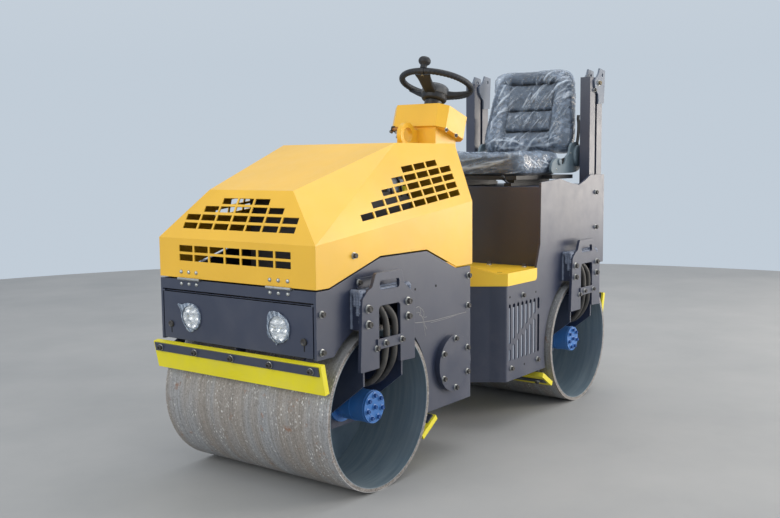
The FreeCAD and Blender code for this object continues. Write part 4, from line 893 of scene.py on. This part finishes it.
def steering_wheel():
    """Ring with three spokes, a two-part hub and the spinner knob with its clamp under the ring."""
    hub = lathe([(20, -76), (37.5, -76.2), (45, -75.5), (50.5, -71.5), (53.5, -66),
                 (53.5, -47.5), (30, -46)], 64)
    dish = lathe([(30, -47.5), (55.5, -47.5), (56.5, -46.5), (56.5, -22.5), (55.2, -16.5),
                  (52, -12.5), (48, -11.2), (30, -11.2)], 72)
    pad = lathe([(30, -13), (47, -12.5), (48, -10.8), (47.2, -8.8), (44, -7.4),
                 (30, -6.2), (12, -5.6), (1, -5.5)], 72)
    knob = lathe([(10, 9.5), (12.5, 10), (14.2, 12.5), (14.2, 19), (12.8, 20.5),
                  (13.5, 22.5), (15.5, 26), (20.5, 30.5), (24.5, 36), (25.7, 43),
                  (24, 50), (19, 56), (11, 59.5), (1, 60.5)], 48)
    band = lathe([(13.2, -7), (15, -7), (15, 7), (13.2, 7), (13.2, -7)], 40)
    at = array([RIM * cos(KNOB_AT), RIM * sin(KNOB_AT), 0])
    arms = spoke().copies(np.zeros((3, 3)), spin=radians([10, 130, 250]))
    knob.points += at
    for name, form, finish, rest in (
            ("ring", grip_ring() + arms + hub, "grip_black",
             dict(sharp=50, replaces=["steering_wheel", "steering_knob"])),
            ("dish", dish, "pad_grey", dict(sharp=60)),
            ("pad", pad, "grip_black", dict(sharp=60)),
            ("spinner", knob, "grip_black", dict(sharp=50)),
            ("clamp", band.copies(at, (-sin(KNOB_AT), cos(KNOB_AT), 0)), "grip_black", {}),
            ("clamp_nut", hex_head(12, 7).copies(at * 0.965 + (0, 0, -14.5), (0, 0, -1)), "brass",
             dict(slot="zinc"))):
        placed = form.copies(array(TURNING["pos_m"]) / MM, TURNING["axis"], pi / 2)
        build(f"steering_{name}", placed, finish, "steering_wheel", **rest)


# ---- seat

LEAN = radians(13)
FILM_GAP, FOLD_MOST = 1.6, 5.5  # the wrapping's distance from the pad, and the rise at which a crease gets the full painted highlight
BACK_FOOT = box("seat_back")[0] * (1, 0, 1) + (136, 0, 15)
BACK_OUT = array([cos(LEAN), 0, sin(LEAN)])
BACK_UP = array([-sin(LEAN), 0, cos(LEAN)])
BACK_MIDDLE = 8  # where the back's bolsters are centred


def within(value, low, low_end, high_start, high):
    """Smooth rise over low..low_end and smooth fall over high_start..high."""
    return step(value, low, low_end) * (1 - step(value, high_start, high))


def dent(away, width):
    """Hollow of depth 1 along a line, away being the distance from it."""
    return np.exp(-(away / width) ** 2)


def crease(away, width, power=1.3):
    """Sharp-footed hollow of a pulled seam."""
    return np.exp(-abs(away / width) ** power)


def rows_of(items, key):
    """The three numbers that each item has under the key."""
    flat = np.empty(len(items) * 3, np.float32)
    items.foreach_get(key, flat)
    return flat.reshape(-1, 3).astype(float)


def points_of(mesh):
    return rows_of(mesh.vertices, "co") / MM


def place_points(mesh, points):
    mesh.vertices.foreach_set("co", (points * MM).astype(np.float32).ravel())
    mesh.update()


def shown(piece):
    return piece.evaluated_get(bpy.context.evaluated_depsgraph_get())


def settle(piece):
    """Makes what the piece's modifiers show its own mesh."""
    mesh = bpy.data.meshes.new_from_object(shown(piece))
    piece.modifiers.clear()
    piece.data = mesh


def blown(name, shape, most, square=6, pressure=4, moments=20):
    """A closed form remeshed to even squares, blown up from inside as a filled cover is, and divided once.
    No point moves further than most."""
    pad = raw(name, shape)
    even = pad.modifiers.new("even", "REMESH")
    even.mode, even.voxel_size = "VOXEL", square * MM
    settle(pad)
    start = points_of(pad.data)
    air = pad.modifiers.new("air", "CLOTH")
    air.settings.use_pressure = True
    air.settings.uniform_pressure_force = pressure
    air.settings.effector_weights.gravity = 0
    for moment in range(1, moments + 1):
        scene.frame_set(moment)
    move = points_of(shown(pad).data) - start
    pad.modifiers.remove(air)
    scene.frame_set(1)
    far = norm(move, axis=1, keepdims=True) + 1e-6
    place_points(pad.data, start + move * most * np.tanh(far / most) / far)
    fine = pad.modifiers.new("fine", "SUBSURF")
    fine.levels = fine.render_levels = 1
    settle(pad)
    return pad, points_of(pad.data), rows_of(pad.data.vertex_normals, "vector")


def sew(pad, points, way, lift, seam, facing, node):
    """Moves the pad's surface by lift where it faces the way, notes its seams for the finishes (the cover paints shade
    in them), and dresses it.
    """
    place_points(pad.data, points + way * (lift * facing)[:, None])
    mark(pad.data, "seam", seam * facing)
    dress(pad, "seat_vinyl", "seat", replaces=[node])


def folds(across, along, weight, seed, count, field, lean, spread, size):
    """Ridges of a creased film. Each is a sharp crest along a slightly bent line that fades out at its ends;
    its middle in the field, direction, length, width and height are drawn in turn from a seeded series."""
    draw = np.random.default_rng(seed)
    height = np.zeros(len(across))
    for _ in range(count):
        middle_at = draw.uniform(*field[:2]), draw.uniform(*field[2:])
        turn = radians(draw.normal(lean, spread))
        half, width, tall, bend = (draw.uniform(30, 110) * size, draw.uniform(2.2, 5.5),
                                   draw.uniform(1.2, 4.8), draw.uniform(-0.0018, 0.0018) / size)
        right, up = across - middle_at[0], along - middle_at[1]
        run = right * cos(turn) + up * sin(turn)
        side = up * cos(turn) - right * sin(turn) + bend * run ** 2
        height += tall * crease(side, width, 1.4) * (1 - step(abs(run), 0.35 * half, half))
    return weight * height


def crumpled(points, seed, waves=12):
    """Facets of crushed film: sharp-crested waves in seeded directions, 30 to 80 mm apart and bent by one
    another; the highest crest counts at each place."""
    draw = np.random.default_rng(seed)
    height = np.zeros(len(points))
    for _ in range(waves):
        way = draw.normal(size=3)
        way *= ROUND / draw.uniform(60, 160) / norm(way)
        cross = draw.normal(size=3) * 0.022
        crest = 1 - abs(sin(points @ way + draw.uniform(0, 6) + 1.1 * sin(points @ cross + draw.uniform(0, 6))))
        height = np.maximum(height, crest ** 3 * draw.uniform(0.5, 1))
    return height


def film_over(pad, name, out, rise, relief, slack, bare=None):
    """Clear wrapping: the pad's surface raised by its folds' rise and by a softer relief, without the points
    that are left bare. The folds and the slackness are stored for the finish, which paints a highlight on the
    folds and whitens the slack film."""
    mesh = pad.data.copy()
    place_points(mesh, points_of(mesh) + out * (FILM_GAP + (rise + relief)[:, None]))
    mark(mesh, "ridge_highlight", rise / FOLD_MOST)
    mark(mesh, "slack", slack)
    if bare is not None:
        form = bmesh.new()
        form.from_mesh(mesh)
        bmesh.ops.delete(form, geom=[point for point, gone in zip(form.verts, bare) if gone], context="VERTS")
        form.to_mesh(mesh)
        form.free()
    piece = link(name, mesh)
    dress(piece, "clear_film", "seat")
    return mesh


def back_form():
    """Oblong section carried up the lean; its half width follows the back's tapering sides and its thickness
    falls off in a quarter round at the foot and the head."""
    high = np.concatenate([linspace(0, 50, 7), linspace(65, 360, 18), linspace(375, 421, 8)])[:, None]
    side = curve([(0, 213), (12, 234), (60, 243), (106, 242), (220, 230), (348, 210),
                  (395, 195), (416, 168), (421, 126)], 400)
    ends = 1 - clip((45 - np.minimum(high, 421 - high)) / 45, 0, 1) ** 2
    thick = 40 * (0.25 + 0.75 * sqrt(clip(ends, 0, 1)))
    turn = turns(72)
    across = np.interp(high, *side.T) * squared(cos(turn), 0.5)
    out = -47 + thick * squared(sin(turn), 0.6)
    return skin(BACK_FOOT + across[..., None] * LEFT + out[..., None] * BACK_OUT
                + (high + 0 * turn)[..., None] * BACK_UP).turned()


def back_seams(across, high):
    """How far the back's front stands out or is drawn in, and how deep in a seam each place lies: bolsters down
    both sides, a roll over the head, two sewn channels across, the seams beside them and a short one up the
    middle."""
    bolster = step(abs(across - BACK_MIDDLE), 95, 165) * (1 - step(high, 330, 380))
    panel = within(across, -125, -108, 122, 137)
    head = within(across, -165, -120, 120, 170)
    roll = high - 338 - 0.00025 * (across - 20) ** 2
    sides = within(high, 30, 70, 325, 345)
    seam = np.max([crease(roll, 7.5) * head,
                   0.3 * crease(across - 12, 3) * within(high, 215, 235, 300, 330),
                   *(0.45 * crease(across - edge - 0.02 * (high - 200), 5) * sides for edge in (-113, 130)),
                   *(crease(high - level - bow * across ** 2, 6.2) * panel
                     for level, bow in ((206, 0.0001), (102, 0.00005)))], axis=0)
    puff = sum(dent(high - level, 36) for level in (55, 154, 270)) * panel
    puff = puff * (1 - 0.35 * clip(abs(across - BACK_MIDDLE) / 120, 0, 1) ** 2)
    return 17 * bolster + 10 * puff + 14 * dent(roll - 42, 30) * head - 21 * seam, seam


# weight, seed, count, limits of the middles across and up, direction and its spread in degrees, size
BACK_FOLDS = (
    (0.9, 11, 44, (-200, 200, 20, 400), 54, 13, 1.35), (0.9, 12, 34, (-240, -110, 50, 380), 70, 34, 0.5),
    (1.2, 13, 22, (-200, 200, 0, 70), 12, 16, 1.2), (1.0, 14, 30, (80, 240, 240, 380), 42, 12, 0.8),
    (0.8, 15, 26, (-100, 80, 100, 190), 75, 40, 0.3), (1.3, 17, 13, (-90, 130, 90, 350), 56, 9, 1.7))


def seat_back():
    """The sewn back and its wrapping: loose round the edges and one shoulder, and pulled to a tip at a corner."""
    pad, points, out = blown("seat_back_pad", back_form(), 9)
    across, high = points[:, 1], (points - BACK_FOOT) @ BACK_UP
    facing = step(out @ BACK_OUT, 0.05, 0.6)
    sew(pad, points, BACK_OUT, *back_seams(across, high), facing, "seat_back")
    rise = sum(folds(across, high, *row) for row in BACK_FOLDS)
    slack = np.max([step(abs(across - BACK_MIDDLE), 105, 150), 1 - step(high, 40, 85),
                    step(0.6 * across + high, 400, 460)], axis=0)
    rough = slack * (1 - 0.75 * step(across, 120, 150) * (1 - step(high, 220, 280)))
    relief = 4.5 * crumpled(points, 31) * (0.2 + 0.8 * rough)
    rise = 8 * np.tanh(rise / 8) * (0.35 + 0.65 * facing)
    mesh = film_over(pad, "seat_back_film", rows_of(pad.data.vertex_normals, "vector"), rise, relief, slack)
    loose = points_of(mesh)
    near = dent(np.hypot(loose[:, 1] + 200, (loose - BACK_FOOT) @ BACK_UP - 375), 45)
    place_points(mesh, loose + 30 * near[:, None] * (array((0.1, -0.75, 0)) + 0.55 * BACK_UP))


def cushion_form():
    """Rounded oblong in plan, its sides drawn in over the foot and the head by a quarter round."""
    low, high = box("seat_cushion")
    lift, turn = linspace(0, pi, 21)[:, None], turns(96)
    draw_in = 1 - 0.085 * (1 - sqrt(clip(sin(lift), 0, 1)))
    x = (low[0] + high[0]) / 2 + ((high[0] - low[0]) / 2 - 6) * draw_in * squared(cos(turn), 0.36)
    y = ((high[1] - low[1]) / 2 - 6) * draw_in * squared(sin(turn), 0.36)
    z = low[2] + 4 + (high[2] - low[2] - 12) * (1 - squared(cos(lift), 0.8)) / 2 + 0 * turn
    return skin(stack([x, y, z], -1))


def cushion_seams(forward, across):
    """Rise of the cushion's top and depth in its seams: a roll over its front edge, bolsters at the sides and
    channels across."""
    side = step(abs(across), 115, 175)
    panel = 1 - step(abs(across), 112, 130)
    seam = np.max([0.6 * crease(abs(across) - 125, 5) * step(130 - abs(forward), 0, 30),
                   *(crease(forward - line, 6.5) * panel for line in (125, -20, -130))], axis=0)
    puff = sum(dent(forward - line, 40) for line in (55, -75)) * panel
    return 10 * side + 6 * puff - 16 * seam, seam


def seat_cushion():
    """The sewn cushion and its wrapping, which is left off underneath."""
    pad, points, out = blown("seat_cushion_pad", cushion_form(), 8)
    forward, across, up = points[:, 0] - middle("seat_cushion")[0], points[:, 1], points[:, 2]
    top, front, side = step(out[:, 2], 0.2, 0.8), step(out[:, 0], 0.3, 0.75), step(abs(out[:, 1]), 0.4, 0.8)
    sew(pad, points, array(UP), *cushion_seams(forward, across), top, "seat_cushion")
    rise = folds(across, up, 1.1, 21, 44, (-250, 200, 1045, 1125), 8, 5, 1.5) * front
    rise += folds(forward, up, 0.45, 22, 13, (50, 220, 1050, 1100), 100, 16, 0.35) * side
    rise += folds(forward, up, 0.8, 23, 18, (-220, 100, 1050, 1125), 20, 25, 0.8) * side
    rise += folds(across, forward, 0.9, 24, 60, (-230, 230, -200, 210), 60, 40, 1.2) * top
    rise *= 1 - 0.35 * front
    slack = np.maximum(0.7 * side, top)
    relief = 3.5 * crumpled(points, 32) * (0.15 + 0.55 * slack)
    film_over(pad, "seat_cushion_film", rows_of(pad.data.vertex_normals, "vector"), 7 * np.tanh(rise / 7), relief,
              slack, bare=out[:, 2] <= -0.55)


# outline of the recliner's cover: ahead and up, anticlockwise
RECLINER = ((-722, 1043.5), (-709, 1053), (-714, 1079), (-727, 1096), (-748, 1108), (-775, 1112),
            (-800, 1109), (-812, 1099), (-813, 1088), (-826, 1081), (-843, 1084), (-852, 1098),
            (-864, 1117), (-888, 1128), (-900, 1142), (-906, 1163), (-920, 1181), (-944, 1188),
            (-985, 1186), (-1012, 1170), (-1024, 1140), (-1023, 1090), (-1008, 1058), (-958, 1042.5),
            (-850, 1041))
# dark sheet of painted shade in the hollow behind the cover, between its two arms
SHADE_WELL = ((-915, 1060), (-780, 1060), (-780, 1100), (-860, 1112), (-915, 1130))


def recliners():
    """Side covers of the recliner: a smooth-cornered plate with a domed pivot cover, a round end pad over the
    front foot and a screw at each."""
    out = box("seat_brackets")[1, 1]
    plate = prism(curve(RECLINER + RECLINER[:1], 120)[:-1], 0, 12).stood(out - 12)
    pivot = lathe([(50, 0), (52.5, 2), (52.5, 10), (49, 15), (40, 18.5), (1, 20)], 48)
    pad = lathe([(15, 0), (16, 1), (16, 6), (13, 9), (1, 10)], 32)
    covers = plate + pivot.copies((-978, out - 1, 1122), LEFT) + pad.copies((-790, out - 1, 1094), LEFT)
    cover = build("seat_recliners", covers.both(), "recliner_grey", "seat", replaces=["seat_brackets"])
    rim = cover.modifiers.new("rim", "BEVEL")
    rim.width, rim.segments, rim.limit_method, rim.harden_normals = 1.8 * MM, 2, "ANGLE", True
    # a black sheet behind the cover's notch, as painted shade
    build("seat_recliner_shade_sheets", prism(SHADE_WELL, 0, 6).stood(out - 13.5).both(), "painted_shade_black", "seat")
    fit("seat_recliner_screws", dome_head(4.2, 3), beside(out, (-908, 1135), (-762.5, 1060.5)), LEFT, "zinc", "seat")


def seat_irons():
    """Bowed strips up the back's sides and the slide's lever."""
    high = linspace(-10, 190, 24)[:, None]
    across = 244 + 10 * sin(clip(high / 170, 0, 1) * pi) ** 0.6
    path = BACK_FOOT + across * LEFT + high * BACK_UP - 55 * BACK_OUT
    build("seat_back_strips", tube(path, 2.2, 12, lean=LEFT, flat=3.6).both(), "black_paint", "seat")
    lever = curve([(-560, 150, 1000), (-500, 152, 1000), (-462, 156, 1012), (-440, 160, 1022)], 30)
    build("seat_lever", tube(lever, 5, 12, lean=LEFT), "rod_chrome", "seat")
    knob = lathe([(4, 0), (8.5, 2), (9.5, 10), (8.5, 20), (4, 24)], 20)
    build("seat_lever_knob", knob.copies(lever[-1] - (2, 0, 1), (0.83, 0.15, 0.5)), "black_plastic", "seat")


for label in ("front", "rear"):
    for make in (bracket_bolts, motor_bolts, hoses, bracket_welds):
        make(label, AXLES[label], f"{label}_frame")
for make in (headlamps, lamp_films, locks, hinge_rivets, scraper_bolts, side_fasteners, console_edging,
             nose_folds, plate_scratches, engine_dressing, tank_wall, steering_wheel, seat_back, seat_cushion,
             seat_irons, recliners):
    make()


# ---- studio

# place, what it is aimed at, size, power and tint of each soft light
LIGHTS = {"key": ((-3.8, 5.2, 2.3), (-0.1, 0, 0.6), (2.8, 2.8), 208, (1.0, 0.93, 0.84)),
          "low_glow": ((-5.2, 3.5, 1.15), (0, 0, 0.9), (4.4, 1.5), 84, (1.0, 0.90, 0.78)),
          "side": ((1.2, 6.5, 2.0), (0, 0, 0.7), (3.0, 3.0), 50, (1.0, 0.95, 0.86)),
          "fill": ((6.0, -1.0, 3.0), (0, 0, 0.6), (3.5, 3.5), 135, (1.0, 0.97, 0.91)),
          "top": ((-1.5, 0.5, 6.0), (0, 0, 0), (4.0, 4.0), 98, (1, 0.98, 0.95))}
FLOOR_RADIUS = 6500


def studio():
    """Pale round floor, soft sky, a broad warm light from the left rear and a fill from the front."""
    turn = turns(96)
    floor = raw("floor", Shape(column_stack([cos(turn), sin(turn), 0 * turn]) * FLOOR_RADIUS, arange(96)[None]))
    look = Finish("floor", Roughness=0.7)
    tone = look.mix(look.span(look.noise(1.3, 6, 0.6), 0.3, 0.7), shade(152, 153, 154), shade(164, 164, 164))
    floor.data.materials.append(look.set(Base_Color=tone))

    world = scene.world = bpy.data.worlds.new("studio")
    world.use_nodes = True
    tree = world.node_tree
    sky = tree.nodes["Background"]
    place, apart, ramp = (tree.nodes.new("ShaderNode" + kind) for kind in ("TexCoord", "SeparateXYZ", "ValToRGB"))
    for start, end in ((place.outputs["Generated"], apart), (apart.outputs["Z"], ramp), (ramp.outputs[0], sky)):
        tree.links.new(start, end.inputs[0])
    horizon, zenith = ramp.color_ramp.elements
    horizon.color, horizon.position, zenith.color = shade(208, 220, 232), 0.1, shade(244, 248, 252)
    sky.inputs[1].default_value = 0.85

    for name, (spot, aim, size, power, tint) in LIGHTS.items():
        data = bpy.data.lights.new(name, "AREA")
        data.shape, data.energy, data.color = "RECTANGLE", power, tint
        data.size, data.size_y = size
        lamp = link(name, data)
        lamp.location = spot
        lamp.visible_camera = False
        lamp.rotation_euler = (Vector(aim) - Vector(spot)).to_track_quat("-Z", "Y").to_euler()


def camera():
    """A 44 mm lens ahead of the machine's left front corner, a little over the hood's height."""
    yaw, pitch, roll = (radians(a) for a in (216.65, 5.84, -0.49))
    look = array([cos(yaw) * cos(pitch), sin(yaw) * cos(pitch), -sin(pitch)])
    right = unit(np.cross(look, UP))
    up = np.cross(right, look)
    right, up = (cos(roll) * right + sin(roll) * up, -sin(roll) * right + cos(roll) * up)
    data = bpy.data.cameras.new("camera")
    data.lens, data.sensor_width = 43.97, 36
    scene.camera = link("camera", data)
    turn = Matrix((right, up, -look)).transposed().to_4x4()
    scene.camera.matrix_world = Matrix.Translation((3.2395, 2.270, 1.102)) @ turn


studio()
camera()
scene.view_settings.view_transform = "Standard"
